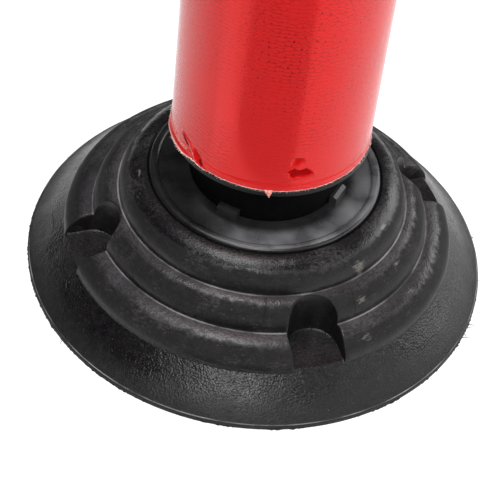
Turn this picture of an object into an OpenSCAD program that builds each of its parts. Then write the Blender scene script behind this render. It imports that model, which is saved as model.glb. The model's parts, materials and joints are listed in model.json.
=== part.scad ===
// Free-standing spring reflex bag: a padded, vinyl-covered column that leans on one
// coil spring, which stands in a stepped rubber base. Millimetres, +Z up.
// The origin is the centre of the base's underside.
// The spring and its two flanged cups are symmetric about the pivot height, so every
// upper piece of the spring seat is the lower one turned over by flip().

/* [Rubber base] */
// Outer diameter of the base
base_d = 480; // [430:10:560]
// Height of the upright rim at the foot of the flange
rim_h = 5.5; // [3:0.5:10]
// Height of the conical flange's upper edge, where the first ring starts
flange_h = 40; // [30:1:50]
// Width of the lowest ring, seen from above
ring1_w = 30; // [22:1:36]
// Height of the lowest ring
ring1_h = 26; // [18:1:34]
// Width of the middle ring
ring2_w = 25; // [20:1:32]
// Height of the middle ring
ring2_h = 26.5; // [18:0.5:34]
// Width of the top ring
ring3_w = 29.5; // [22:0.5:36]
// Height of the top ring
ring3_h = 29; // [22:1:36]
// Width of each of the four open pockets
pocket_w = 53; // [40:1:60]
// Distance of a pocket's rounded inner end from the axis
pocket_in_r = 151; // [140:1:160]
// Rise of a pocket's floor over the flange's upper edge
pocket_rise = 3; // [1:0.5:8]
// Depth of the relief between the underside's two standing rings
relief_h = 4; // [2:0.5:8]
// Depth of the recess for the clamp plate
recess_h = 18; // [16.5:0.5:24]

/* [Collar] */
// Outer diameter of the collar plate
collar_d = 236; // [226:1:250]
// Thickness of the collar plate
collar_t = 6; // [4:0.5:9]
// Width of the rounded bead round the collar's edge
bead_w = 9; // [6:0.5:14]
// Height of the bead over the plate
bead_h = 3; // [2:0.5:4.5]
// Width of each of the four lugs that locate the boot
lug_w = 22; // [14:1:30]
// Height of a lug next to the boot
lug_h = 12; // [6:0.5:13]
// Reach of a lug outwards from the boot
lug_reach = 7; // [5:0.5:9]

/* [Spring and boot] */
// Clear height between the collar plate and the bag's disc
gap_h = 58; // [54:1:70]
// Outer diameter of the rubber boot round the spring
boot_d = 155; // [154:1:164]
// Wall thickness of the boot
boot_t = 3; // [2:0.5:3.5]
// Thickness of the boot's two clamped inner flanges
boot_flange_t = 2.5; // [2:0.5:4]
// Mean diameter of the coil spring
spring_d = 76; // [72:1:80]
// Diameter of the spring wire
wire_d = 10; // [8:0.5:11]
// Whole turns of the spring
spring_turns = 9; // [7:1:10]
// Pitch of the spring's two close-wound end turns
end_pitch = 15; // [14.5:0.5:17]
// Outer diameter of the pressed spring cups
cup_d = 101; // [96:1:102]
// Depth of a cup below its flange
cup_depth = 67; // [55:1:70]
// Wall thickness of the cups and their flanges
cup_t = 2.5; // [2:0.5:3.5]

/* [Fasteners] */
// Number of bolts through each cup's flange
bolt_count = 6; // [4:1:6]
// Diameter of the bolts' circle
bolt_circle_d = 128; // [127:0.5:130]
// Shank diameter of the flange bolts
bolt_d = 8; // [6:1:8]
// Thickness of the steel clamp plate under the base
clamp_t = 5; // [3:0.5:6]
// Diameter of the clamp plate
clamp_d = 184; // [160:1:200]
// Diameter of the studs that hold the spring clips
stud_d = 6; // [5:1:6]
// Width of a spring clip
clip_w = 12; // [11.5:0.5:15]

/* [Bag] */
// Outer diameter of the vinyl cover
cover_d = 198; // [190:1:210]
// Thickness of the vinyl
cover_t = 1; // [0.6:0.1:2]
// Height of the bag from the underside of its disc to the crown of the dome
bag_h = 1320; // [900:10:1500]
// Height of the domed top
dome_h = 60; // [30:5:90]
// Diameter of the bag's bottom disc
disc_d = 201; // [192:1:204]
// Visible thickness of the disc's rim
disc_rim_t = 6; // [4:0.5:9]
// Height of the step on the disc that fills the cover's mouth
disc_step_h = 5; // [3:0.5:10]
// Wall thickness of the core tube
core_t = 4; // [2.5:0.5:4.5]

/* [Hidden] */
$fn = 96;

// Clearances
fit = 0.3;                  // beside a piece that seats on or in another
bolt_slack = 0.6;           // of a bolt hole's radius over its bolt
spring_fit = 0.2;           // at each end of the spring
slip_fit = 0.5;             // of the core tube over the upper cup
clamp_slack = 2;            // round the clamp plate in its recess
well_slack = 1;             // round a spring cup in the base, the collar, the boot and the disc
over = 1;                   // overshoot of a cutter, or of a shank into its head

// Base, from the collar's seat outwards and down
collar_r = collar_d / 2;
seat_r = collar_r + fit;
crease3_r = seat_r + ring3_w;
crease2_r = crease3_r + ring2_w;
crease1_r = crease2_r + ring1_w;
base_r = base_d / 2;
crease2_z = flange_h + ring1_h;
crease3_z = crease2_z + ring2_h;
top_z = crease3_z + ring3_h;
seat_z = top_z - collar_t;
rim_edge = 1.5;             // bevel of the rim's upper edge
sole_edge = 0.8;            // bevel of the rim's lower edge
rim_sole_w = 28;            // width of the outer standing ring
hub_sole_w = 30;            // width of the inner standing ring
flange_foot_r = base_r - rim_edge;
pocket_floor_z = flange_h + pocket_rise;
// A pocket's floor ends where it meets the flange's cone, drawn on inwards
pocket_floor_r = crease1_r - pocket_rise * (flange_foot_r - crease1_r) / (flange_h - rim_h);
recess_r = clamp_d / 2 + clamp_slack;

// Collar
bead_r = collar_r - bead_w / 2 - fit;
bead_foot_r = bead_r - bead_w / 2;
groove_w = 1.4;             // fine groove along the bead's inner foot
groove_h = 1;
spigot_in_r = 92;           // ring under the plate that locates it in the rubber
spigot_w = 4;
spigot_h = 5;
lug_slope = 2;              // fall of a lug's top towards its outer end
lug_land = 3;               // level part of a lug's top, next to the boot

// Spring seat
boot_r = boot_d / 2;
boot_round = 4;             // outer corner radius of the boot
boot_bevel = 1;             // between its wall and its flanges, inside
pivot_z = top_z + gap_h / 2;
boot_seat_z = top_z + boot_flange_t;
cup_r = cup_d / 2;
cup_in_r = cup_r - cup_t;
cup_round = 6;              // corner radius at the bottom of a cup
flange_z = boot_seat_z + cup_t;
spring_seat_z = boot_seat_z - cup_depth;
cup_bottom_z = spring_seat_z - cup_t;
well_r = cup_r + well_slack;
spring_r = spring_d / 2;
wire_r = wire_d / 2;
spring_h = 2 * (pivot_z - spring_seat_z);
spring_pitch = (spring_h - 2 * end_pitch) / (spring_turns - 2);
spring_steps = 16;          // rings in one turn
wire_sides = 8;

// Clips over the end turns
clip_turns = [0.3, 0.55, 0.8];   // where they stand, in turns from the spring's end
clip_in_r = 15;             // inner side of a clip's foot
stud_r = 23;                // distance of the studs from the axis
clip_lip_t = 2.4;
clip_slack = 0.8;           // between a clip's lip and the wire
clip_back = spring_r - wire_r - 2;   // outer side of a clip's foot, inside the coil
clip_out_r = spring_r + 2;  // tip of its lip, just past the middle of the wire
stud_over = 2;              // a stud's end above its nut
stud_nut_h = 5;
stud_nut_d = 1.93 * stud_d; // across corners

// Flange bolts
bolt_r = bolt_d / 2;
bolt_hole_r = bolt_r + bolt_slack;
bolt_circle_r = bolt_circle_d / 2;
bolt_phase = 15;            // turns the lower circle 30 degrees from the upper one
head_r = 0.87 * bolt_d;
head_h = 0.55 * bolt_d;
flange_land = 1.5;          // of a cup's flange beyond the bolt heads
flange_r = bolt_circle_r + head_r + flange_land;
socket_d = 0.72 * bolt_d;   // hexagon socket, across corners
socket_floor = 0.4 * head_h;
washer_r = bolt_d;
washer_t = 1.6;
nut_d = 1.87 * bolt_d;      // across corners
nut_h = 0.81 * bolt_d;
bolt_over = 2;              // a bolt's end beyond its nut

// Bag
disc_z = top_z + gap_h;
disc_r = disc_d / 2;
disc_edge = 1.2;
disc_step_z = disc_z + disc_rim_t;
disc_top_z = disc_step_z + disc_step_h;
cover_r = cover_d / 2;
cover_in_r = cover_r - cover_t;
pad_r = cover_in_r - fit;   // foam and the disc's step
core_in_r = cup_r + slip_fit;
core_r = core_in_r + core_t;
bag_top_z = disc_z + bag_h;
dome_z = bag_top_z - dome_h;
core_drop = 36;             // the core ends this far below the dome's foot
core_top_z = dome_z - core_drop;
core_cap_t = 4;
core_cap_skirt = 25;
core_cap_wall = 3;
foam_joint_z = core_top_z + core_cap_t;
nut_room = 2;               // round the disc's nuts in the foam
nut_room_z = disc_top_z + washer_t + nut_h + bolt_over + nut_room;
nut_room_r = bolt_circle_r + washer_r + nut_room;
core_screw_h = 30;          // height of the core screws over the disc
core_screw_z = disc_top_z + core_screw_h;
core_screw_d = 6;
core_screw_count = 4;
core_screw_head_r = 5;
core_screw_head_h = 2.5;
core_screw_tip = 3;         // reach beyond the cup's inner wall
screw_room = 2;             // round the screw heads in the foam

RUBBER = "#232323";
PLASTIC = "#303133";
STEEL = "#A9ADB0";
ZINC = "#C2C4C0";
VINYL = "#CC2A2C";
FOAM = "#4A4C50";
CORE = "#8C8F92";

// Points of an elliptic arc about c, from angle a to angle b
function arc(c, rx, ry, a, b, n = 10) =
    [for (i = [0:n]) let (t = a + (b - a) * i / n) [c[0] + rx * cos(t), c[1] + ry * sin(t)]];

function reverse(v) = [for (i = [len(v) - 1:-1:0]) v[i]];

// Turns a piece of the lower spring seat over about the pivot
module flip() translate([0, 0, 2 * pivot_z]) rotate([180, 0, 0]) children();

module on_bolt_circle(phase = bolt_phase)
    for (i = [0:bolt_count - 1])
        rotate(phase + 360 * i / bolt_count) translate([bolt_circle_r, 0, 0]) children();

module bolt_holes(z0, z1)
    on_bolt_circle() translate([0, 0, z0 - over]) cylinder(r = bolt_hole_r, h = z1 - z0 + 2 * over);

// ---- Rubber base ----

// Rings from the collar's seat down to the flange: each rises steeply and rounds over
function ring_steps() = concat(
    arc([seat_r, crease3_z], ring3_w, ring3_h, 90, 0),
    arc([crease3_r, crease2_z], ring2_w, ring2_h, 90, 0),
    arc([crease2_r, flange_h], ring1_w, ring1_h, 90, 0)
);

module base_section() {
    rim_in_r = base_r - rim_sole_w;
    hub_out_r = recess_r + hub_sole_w;
    polygon(concat(
        [[0, cup_bottom_z - fit], [well_r, cup_bottom_z - fit], [well_r, seat_z]],
        [[spigot_in_r - fit, seat_z], [spigot_in_r - fit, seat_z - spigot_h - fit]],
        [[spigot_in_r + spigot_w + fit, seat_z - spigot_h - fit]],
        [[spigot_in_r + spigot_w + fit, seat_z], [seat_r, seat_z]],
        ring_steps(),
        [[flange_foot_r, rim_h], [base_r, rim_h - rim_edge]],
        [[base_r, sole_edge], [base_r - sole_edge, 0]],
        [[rim_in_r, 0], [rim_in_r - relief_h, relief_h]],
        [[hub_out_r + relief_h, relief_h], [hub_out_r, 0]],
        [[recess_r, 0], [recess_r, recess_h], [0, recess_h]]
    ));
}

// A pocket is open outwards and upwards, with a rounded inner end and a level floor
module pocket() {
    round_x = pocket_in_r + pocket_w / 2;
    out_r = crease1_r + over;
    intersection() {
        union() {
            translate([round_x, 0, 0]) cylinder(d = pocket_w, h = top_z + over);
            translate([round_x, -pocket_w / 2, 0])
                cube([base_r - round_x, pocket_w, top_z + over]);
        }
        rotate_extrude()
            polygon([
                [0, pocket_floor_z], [pocket_floor_r, pocket_floor_z], [crease1_r, flange_h],
                [out_r, flange_h], [out_r, top_z + over], [0, top_z + over]
            ]);
    }
}

module rubber_base()
    color(RUBBER)
    difference() {
        rotate_extrude() base_section();
        for (a = [0:90:270]) rotate(a) pocket();
        bolt_holes(recess_h, seat_z);
    }

module clamp_plate()
    color(STEEL)
    translate([0, 0, recess_h - clamp_t])
    difference() {
        cylinder(d = clamp_d, h = clamp_t);
        bolt_holes(0, clamp_t);
    }

// ---- Collar ----

module collar_section()
    polygon(concat(
        [[well_r, seat_z], [spigot_in_r, seat_z], [spigot_in_r, seat_z - spigot_h]],
        [[spigot_in_r + spigot_w, seat_z - spigot_h], [spigot_in_r + spigot_w, seat_z]],
        [[collar_r, seat_z], [collar_r, top_z]],
        arc([bead_r, top_z], bead_w / 2, bead_h, 0, 180, 12),
        [[bead_foot_r, top_z - groove_h], [bead_foot_r - groove_w, top_z - groove_h]],
        [[bead_foot_r - groove_w, top_z]],
        [[well_r, top_z]]
    ));

// A lug hugs the boot's foot, and its top falls outwards
module lug() {
    lug_in_r = boot_r + fit;
    lug_out_r = lug_in_r + lug_reach;
    intersection() {
        rotate([90, 0, 0])
            linear_extrude(height = lug_w, center = true)
                polygon([
                    [0, seat_z], [lug_out_r, seat_z], [lug_out_r, top_z + lug_h - lug_slope],
                    [lug_in_r + lug_land, top_z + lug_h], [0, top_z + lug_h]
                ]);
        difference() {
            translate([0, 0, seat_z]) cylinder(r = base_r, h = collar_t + lug_h);
            translate([0, 0, seat_z - over]) cylinder(r = lug_in_r, h = collar_t + lug_h + 2 * over);
        }
    }
}

module collar()
    color(PLASTIC)
    difference() {
        union() {
            rotate_extrude() collar_section();
            for (a = [45:90:315]) rotate(a) lug();
        }
        bolt_holes(seat_z, top_z);
    }

// ---- Spring seats ----

module cup_section()
    polygon(concat(
        [[0, cup_bottom_z]],
        arc([cup_r - cup_round, cup_bottom_z + cup_round], cup_round, cup_round, -90, 0, 6),
        [[cup_r, boot_seat_z], [flange_r, boot_seat_z], [flange_r, flange_z]],
        [[cup_in_r, flange_z]],
        arc([cup_r - cup_round, cup_bottom_z + cup_round],
            cup_round - cup_t, cup_round - cup_t, 0, -90, 6),
        [[0, spring_seat_z]]
    ));

// Height of the wire's centre line above the spring's seat after u turns
function wire_z(u) =
    u < 1 ? end_pitch * u
    : u > spring_turns - 1 ? spring_h - end_pitch * (spring_turns - u)
    : end_pitch + spring_pitch * (u - 1);

function clip_lip_z(u) = spring_seat_z + wire_z(u) + wire_r + clip_slack;
function clip_top_z(u) = clip_lip_z(u) + clip_lip_t;
function stud_top_z(u) = clip_top_z(u) + stud_nut_h + stud_over;

module at_clip(u) rotate(360 * u) translate([stud_r, 0, 0]) children();

// Pressed cup with a bolted flange and three welded studs
module spring_cup() {
    difference() {
        rotate_extrude() cup_section();
        bolt_holes(boot_seat_z, flange_z);
    }
    for (u = clip_turns)
        at_clip(u) translate([0, 0, spring_seat_z - over])
            cylinder(d = stud_d, h = stud_top_z(u) - spring_seat_z + over, $fn = 32);
}

// A clip stands on the cup's floor and reaches over the spring's end turn
module spring_clip(u)
    difference() {
        rotate(360 * u) rotate([90, 0, 0])
            linear_extrude(height = clip_w, center = true)
                polygon([
                    [clip_in_r, spring_seat_z], [clip_back, spring_seat_z],
                    [clip_back, clip_lip_z(u)], [clip_out_r, clip_lip_z(u)],
                    [clip_out_r, clip_top_z(u)], [clip_in_r, clip_top_z(u)]
                ]);
        at_clip(u) translate([0, 0, spring_seat_z - over])
            cylinder(d = stud_d + 2 * fit, h = clip_top_z(u) - spring_seat_z + 2 * over, $fn = 32);
    }

module spring_clips() for (u = clip_turns) spring_clip(u);

module clip_nuts()
    for (u = clip_turns)
        at_clip(u) translate([0, 0, clip_top_z(u)])
            hex_nut(stud_nut_d, stud_nut_h, stud_d);

module lower_spring_cup() color(STEEL) spring_cup();

module lower_spring_clips() color(STEEL) spring_clips();

module lower_clip_nuts() color(ZINC) clip_nuts();

module upper_spring_cup()
    color(STEEL)
    difference() {
        flip() spring_cup();
        core_screw_holes(cup_in_r - over, cup_r + over);
    }

module upper_spring_clips() color(STEEL) flip() spring_clips();

module upper_clip_nuts() color(ZINC) flip() clip_nuts();

// ---- Fasteners ----

module hex_nut(across, h, bore)
    difference() {
        cylinder(d = across, h = h, $fn = 6);
        translate([0, 0, -over]) cylinder(d = bore + fit, h = h + 2 * over, $fn = 32);
    }

// Button-head bolt, its head's seat at z = 0 and its shank pointing down
module flange_bolt(length) {
    difference() {
        rotate_extrude($fn = 48)
            polygon(concat(arc([0, 0], head_r, head_h, 0, 70, 5), [[0, head_h], [0, 0]]));
        translate([0, 0, socket_floor]) cylinder(d = socket_d, h = head_h, $fn = 6);
    }
    translate([0, 0, -length]) cylinder(r = bolt_r, h = length + over, $fn = 48);
}

module flat_washer()
    difference() {
        cylinder(r = washer_r, h = washer_t, $fn = 48);
        translate([0, 0, -over]) cylinder(r = bolt_r + fit, h = washer_t + 2 * over, $fn = 48);
    }

clamp_bottom_z = recess_h - clamp_t;
base_nut_z = clamp_bottom_z - washer_t - nut_h;

module base_bolts()
    color(ZINC)
    on_bolt_circle() translate([0, 0, flange_z]) flange_bolt(flange_z - base_nut_z + bolt_over);

module base_washers()
    color(ZINC)
    on_bolt_circle() translate([0, 0, clamp_bottom_z - washer_t]) flat_washer();

module base_nuts()
    color(ZINC)
    on_bolt_circle() translate([0, 0, base_nut_z]) hex_nut(nut_d, nut_h, bolt_d);

// The same stack turned over: heads under the upper flange, nuts on the disc
module disc_bolts()
    color(ZINC)
    flip() on_bolt_circle() translate([0, 0, flange_z])
        flange_bolt(flange_z - top_z + disc_top_z - disc_z + washer_t + nut_h + bolt_over);

module disc_washers()
    color(ZINC)
    flip() on_bolt_circle()
        translate([0, 0, top_z - (disc_top_z - disc_z) - washer_t]) flat_washer();

module disc_nuts()
    color(ZINC)
    flip() on_bolt_circle()
        translate([0, 0, top_z - (disc_top_z - disc_z) - washer_t - nut_h])
            hex_nut(nut_d, nut_h, bolt_d);

// ---- Spring and boot ----

// Ring i of the wire: a polygon square to the helix
function wire_ring(i) =
    let (
        u = i / spring_steps,
        a = 360 * u,
        c = [spring_r * cos(a), spring_r * sin(a), spring_seat_z + wire_z(u)],
        out = [cos(a), sin(a), 0],
        rise = (wire_z(u + 0.01) - wire_z(u - 0.01)) / 0.02,
        run = 2 * PI * spring_r,
        lean = atan2(rise, run),
        up = [sin(a) * sin(lean), -cos(a) * sin(lean), cos(lean)]
    )
    [for (k = [0:wire_sides - 1])
        let (t = 360 * (k + 0.5) / wire_sides)
        c + wire_r * (cos(t) * out + sin(t) * up)];

function spring_rings() = [for (i = [0:spring_turns * spring_steps]) wire_ring(i)];

// One closed tube through a list of rings
module tube(rings) {
    n = len(rings[0]);
    last = len(rings) - 1;
    sides = [for (i = [0:last - 1], k = [0:n - 1])
        let (a = i * n + k, b = i * n + (k + 1) % n)
        each [[a, b, b + n], [a, b + n, a + n]]];
    foot = [[for (k = [n - 1:-1:0]) k]];
    head = [[for (k = [0:n - 1]) last * n + k]];
    polyhedron([for (r = rings) each r], concat(foot, sides, head), convexity = 10);
}

// Least distance from ring i's points to those of the rings one turn on
function turn_gap(rings, i) =
    min([for (j = [i + spring_steps - 1:i + spring_steps + 1], p = rings[i], q = rings[j]) norm(p - q)]);

function least_gap(rings) =
    min([for (i = [0:len(rings) - spring_steps - 2]) turn_gap(rings, i)]);

echo(spring_turns = spring_turns, least_gap_between_turns = least_gap(spring_rings()));

// The wire's ends are ground level with the spring's two seats
module coil_spring()
    color(STEEL)
    intersection() {
        tube(spring_rings());
        translate([0, 0, spring_seat_z + spring_fit])
            cylinder(r = spring_r + wire_d, h = spring_h - 2 * spring_fit, $fn = 24);
    }

// Smooth sleeve with an inward flange at each end, clamped under a cup's flange
module boot_section() {
    in_r = boot_r - boot_t;
    polygon(concat(
        [[well_r, top_z]],
        arc([boot_r - boot_round, top_z + boot_round], boot_round, boot_round, -90, 0, 6),
        arc([boot_r - boot_round, disc_z - boot_round], boot_round, boot_round, 0, 90, 6),
        [[well_r, disc_z], [well_r, disc_z - boot_flange_t]],
        [[in_r - boot_bevel, disc_z - boot_flange_t], [in_r, disc_z - boot_flange_t - boot_bevel]],
        [[in_r, boot_seat_z + boot_bevel], [in_r - boot_bevel, boot_seat_z], [well_r, boot_seat_z]]
    ));
}

module spring_boot()
    color(RUBBER)
    difference() {
        rotate_extrude() boot_section();
        bolt_holes(top_z, boot_seat_z);
        flip() bolt_holes(top_z, boot_seat_z);
    }

// ---- Bag ----

module bottom_disc()
    color(PLASTIC)
    difference() {
        rotate_extrude()
            polygon([
                [well_r, disc_z], [disc_r - disc_edge, disc_z], [disc_r, disc_z + disc_edge],
                [disc_r, disc_step_z - disc_edge / 2], [disc_r - disc_edge / 2, disc_step_z],
                [pad_r, disc_step_z], [pad_r, disc_top_z], [well_r, disc_top_z]
            ]);
        flip() bolt_holes(top_z - (disc_top_z - disc_z), top_z);
    }

module on_core_screws()
    for (i = [0:core_screw_count - 1])
        rotate(360 * i / core_screw_count) translate([0, 0, core_screw_z]) rotate([0, 90, 0])
            children();

module core_screw_holes(r0, r1)
    on_core_screws() translate([0, 0, r0]) cylinder(d = core_screw_d + 2 * fit, h = r1 - r0, $fn = 32);

module core_tube()
    color(CORE)
    difference() {
        rotate_extrude()
            translate([core_in_r, disc_top_z]) square([core_t, core_top_z - disc_top_z]);
        core_screw_holes(core_in_r - over, core_r + over);
    }

// Pan-head screws through the core tube into the upper cup's wall
module core_screws()
    color(ZINC)
    on_core_screws() {
        tip = cup_in_r - core_screw_tip;
        translate([0, 0, tip]) cylinder(d = core_screw_d, h = core_r + fit - tip, $fn = 32);
        translate([0, 0, core_r + fit])
            rotate_extrude($fn = 32)
                polygon(concat(
                    arc([0, 0], core_screw_head_r, core_screw_head_h, 0, 60, 4),
                    [[0, core_screw_head_h * sin(60)], [0, 0]]
                ));
    }

module core_cap()
    color(PLASTIC)
    rotate_extrude()
        polygon([
            [0, foam_joint_z], [core_r, foam_joint_z], [core_r, core_top_z],
            [core_in_r - fit, core_top_z], [core_in_r - fit, core_top_z - core_cap_skirt],
            [core_in_r - fit - core_cap_wall, core_top_z - core_cap_skirt],
            [core_in_r - fit - core_cap_wall, core_top_z], [0, core_top_z]
        ]);

// The foam slips over the core tube and leaves room for the nuts and screw heads
module foam_sleeve() {
    bore_r = core_r + fit;
    head_r = core_r + fit + core_screw_head_h + screw_room;
    head_room = core_screw_head_r + screw_room;
    color(FOAM)
    rotate_extrude()
        polygon([
            [nut_room_r, disc_top_z + fit], [pad_r, disc_top_z + fit], [pad_r, foam_joint_z],
            [bore_r, foam_joint_z], [bore_r, core_screw_z + head_room],
            [head_r, core_screw_z + head_room], [head_r, core_screw_z - head_room],
            [bore_r, core_screw_z - head_room], [bore_r, nut_room_z], [nut_room_r, nut_room_z]
        ]);
}

// The dome's outline, drawn in by d
function dome(d) = arc([0, dome_z], cover_r - d, dome_h - d, 0, 90, 16);

module foam_crown()
    color(FOAM)
    rotate_extrude()
        polygon(concat([[0, foam_joint_z + fit], [pad_r, foam_joint_z + fit]], dome(cover_t + fit)));

module cover_wall()
    color(VINYL)
    rotate_extrude()
        translate([cover_in_r, disc_step_z + fit])
            square([cover_t, dome_z - disc_step_z - fit]);

module cover_top()
    color(VINYL)
    rotate_extrude()
        polygon(concat(dome(0), reverse(dome(cover_t))));

rubber_base();
clamp_plate();
collar();
lower_spring_cup();
lower_spring_clips();
lower_clip_nuts();
base_bolts();
base_washers();
base_nuts();
coil_spring();
spring_boot();
upper_spring_cup();
upper_spring_clips();
upper_clip_nuts();
bottom_disc();
disc_bolts();
disc_washers();
disc_nuts();
core_tube();
core_screws();
core_cap();
foam_sleeve();
foam_crown();
cover_wall();
cover_top();
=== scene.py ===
"""Free-standing spring reflex bag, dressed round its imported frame.

A padded column in embossed red vinyl leans on a coil spring, which a rubber boot hides,
over a collar plate and a stepped base of moulded rubber with four pockets.
Sizes are in millimetres, with the names that the part's source gives them, and MM turns
them to the frame's metres.
"""

import json
import math

import bmesh
import bpy
from mathutils import Matrix, Vector, noise

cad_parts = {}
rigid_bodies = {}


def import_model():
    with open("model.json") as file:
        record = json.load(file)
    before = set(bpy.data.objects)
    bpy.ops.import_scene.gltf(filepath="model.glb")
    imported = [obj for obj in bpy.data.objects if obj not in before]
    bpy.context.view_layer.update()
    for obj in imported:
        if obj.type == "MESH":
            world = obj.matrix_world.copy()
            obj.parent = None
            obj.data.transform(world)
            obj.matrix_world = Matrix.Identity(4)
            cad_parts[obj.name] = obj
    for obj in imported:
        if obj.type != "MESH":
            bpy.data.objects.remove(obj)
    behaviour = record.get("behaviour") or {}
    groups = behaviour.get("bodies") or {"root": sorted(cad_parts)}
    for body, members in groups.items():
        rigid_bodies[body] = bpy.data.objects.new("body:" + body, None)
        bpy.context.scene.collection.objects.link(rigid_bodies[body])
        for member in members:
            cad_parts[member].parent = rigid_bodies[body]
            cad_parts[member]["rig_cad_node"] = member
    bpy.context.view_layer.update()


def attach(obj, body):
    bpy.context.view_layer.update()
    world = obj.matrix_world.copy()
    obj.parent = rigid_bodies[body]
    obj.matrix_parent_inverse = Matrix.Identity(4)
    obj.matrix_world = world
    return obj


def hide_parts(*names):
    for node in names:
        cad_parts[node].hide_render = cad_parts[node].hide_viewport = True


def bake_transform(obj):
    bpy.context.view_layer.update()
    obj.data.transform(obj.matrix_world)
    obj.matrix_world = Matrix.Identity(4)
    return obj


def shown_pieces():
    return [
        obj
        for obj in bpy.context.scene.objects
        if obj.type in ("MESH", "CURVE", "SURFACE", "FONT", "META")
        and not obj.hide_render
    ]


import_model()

MM = 0.001

# ---- Sizes shared with the part's source ----

BASE_R = 240.0
RIM_H = 5.5
FLANGE_H = 40.0
RING1_W, RING1_H = 30.0, 26.0
RING2_W, RING2_H = 25.0, 26.5
RING3_W, RING3_H = 29.5, 29.0
SEAT_R = 118.3
CREASE3_R = SEAT_R + RING3_W
CREASE2_R = CREASE3_R + RING2_W
CREASE1_R = CREASE2_R + RING1_W
CREASE2_Z = FLANGE_H + RING1_H
CREASE3_Z = CREASE2_Z + RING2_H
TOP_Z = CREASE3_Z + RING3_H
SEAT_Z = TOP_Z - 6.0
RIM_EDGE = 1.5
SOLE_EDGE = 0.8
RIM_SOLE_W = 28.0
HUB_SOLE_W = 30.0
RELIEF_H = 4.0
RECESS_R, RECESS_H = 94.0, 18.0
POCKET_W = 53.0
POCKET_IN_R = 151.0
POCKET_FLOOR_Z = FLANGE_H + 3.0
POCKET_FLOOR_R = 199.7
SPIGOT_IN_R, SPIGOT_OUT_R, SPIGOT_DEEP = 91.7, 96.3, 5.3
WELL_R, WELL_Z = 51.5, 54.2
BOLT_CIRCLE_R, BOLT_HOLE_R, BOLT_COUNT, BOLT_PHASE = 64.0, 4.6, 6, 15.0

PIVOT_Z = 150.5
BOOT_R, BOOT_T, BOOT_ROUND, BOOT_FLANGE_T = 77.5, 3.0, 4.0, 2.5
SPRING_R, WIRE_R, SPRING_TURNS, END_PITCH = 38.0, 5.0, 9, 15.0
SPRING_SEAT_Z = 57.0
SPRING_FIT = 0.2

DISC_TOP_Z = 190.5
COVER_R, COVER_T = 99.0, 1.0
COVER_LOW_Z = 185.8
PAD_R = 97.7
CORE_R = 55.0
DOME_Z, DOME_H = 1439.5, 60.0
FOAM_JOINT_Z = 1407.5
NUT_ROOM_R, NUT_ROOM_Z = 74.0, 202.6
SCREW_Z, SCREW_ROOM, SCREW_HEAD_R = 220.5, 7.0, 59.8

# ---- Camera ----

CAMERA_ELEVATION = 46.017
CAMERA_AZIMUTH = -22.5
CAMERA_ROLL = 7.374
CAMERA_DISTANCE = 1.80096
CAMERA_AIM = Vector((-0.00441, 0.00183, 0.00026))
CAMERA_LENS = 121.5


def placed(name, data):
    """A new object in the scene."""
    made = bpy.data.objects.new(name, data)
    bpy.context.scene.collection.objects.link(made)
    return made


def aim_from(azimuth, elevation):
    """Direction from the aim towards a place seen at that azimuth and elevation."""
    a, e = math.radians(azimuth), math.radians(elevation)
    return Vector((math.sin(a) * math.cos(e), -math.cos(a) * math.cos(e), math.sin(e)))


def make_camera():
    camera = placed("camera", bpy.data.cameras.new("camera"))
    back = aim_from(CAMERA_AZIMUTH, CAMERA_ELEVATION)
    right = Vector((0, 0, 1)).cross(back).normalized()
    up = back.cross(right)
    roll = math.radians(CAMERA_ROLL)
    tilted_right = math.cos(roll) * right + math.sin(roll) * up
    tilted_up = math.cos(roll) * up - math.sin(roll) * right
    turn = Matrix((tilted_right, tilted_up, back)).transposed()
    camera.matrix_world = Matrix.Translation(CAMERA_AIM + CAMERA_DISTANCE * back) @ turn.to_4x4()
    camera.data.lens = CAMERA_LENS
    camera.data.sensor_width = 36.0
    camera.data.clip_start, camera.data.clip_end = 0.05, 50.0
    bpy.context.scene.camera = camera


make_camera()
bpy.context.scene.view_settings.view_transform = "Standard"

# ---- Node and material helpers ----


def lin(code):
    """A colour written as sRGB hex, turned to Blender's linear RGBA."""
    parts = [int(code[i:i + 2], 16) / 255 for i in (1, 3, 5)]
    return tuple(c / 12.92 if c < 0.04045 else ((c + 0.055) / 1.055) ** 2.4 for c in parts) + (1.0,)


def feed(node, inputs):
    """Sets a node's sockets to values, to outputs, or to the live output of other nodes."""
    for socket, value in inputs.items():
        if isinstance(value, bpy.types.Node):
            value = next(output for output in value.outputs if output.enabled)
        if isinstance(value, bpy.types.NodeSocket):
            node.id_data.links.new(value, node.inputs[socket])
        else:
            node.inputs[socket].default_value = value
    return node


def add(tree, kind, inputs=None, **settings):
    """Adds a node with its settings, and feeds it; a shader node's kind leaves out its ShaderNode."""
    made = tree.nodes.new(kind if "Node" in kind else "ShaderNode" + kind)
    for name, value in settings.items():
        setattr(made, name, value)
    return feed(made, inputs or {})


def new_material(name, **surface):
    """A material with one Principled surface; surface maps its sockets' names to values."""
    material = bpy.data.materials.new(name)
    material.use_nodes = True
    shader = material.node_tree.nodes["Principled BSDF"]
    feed(shader, {socket.replace("_", " "): value for socket, value in surface.items()})
    return material, material.node_tree, shader


def object_coordinates(tree):
    return add(tree, "TexCoord").outputs["Object"]


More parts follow.
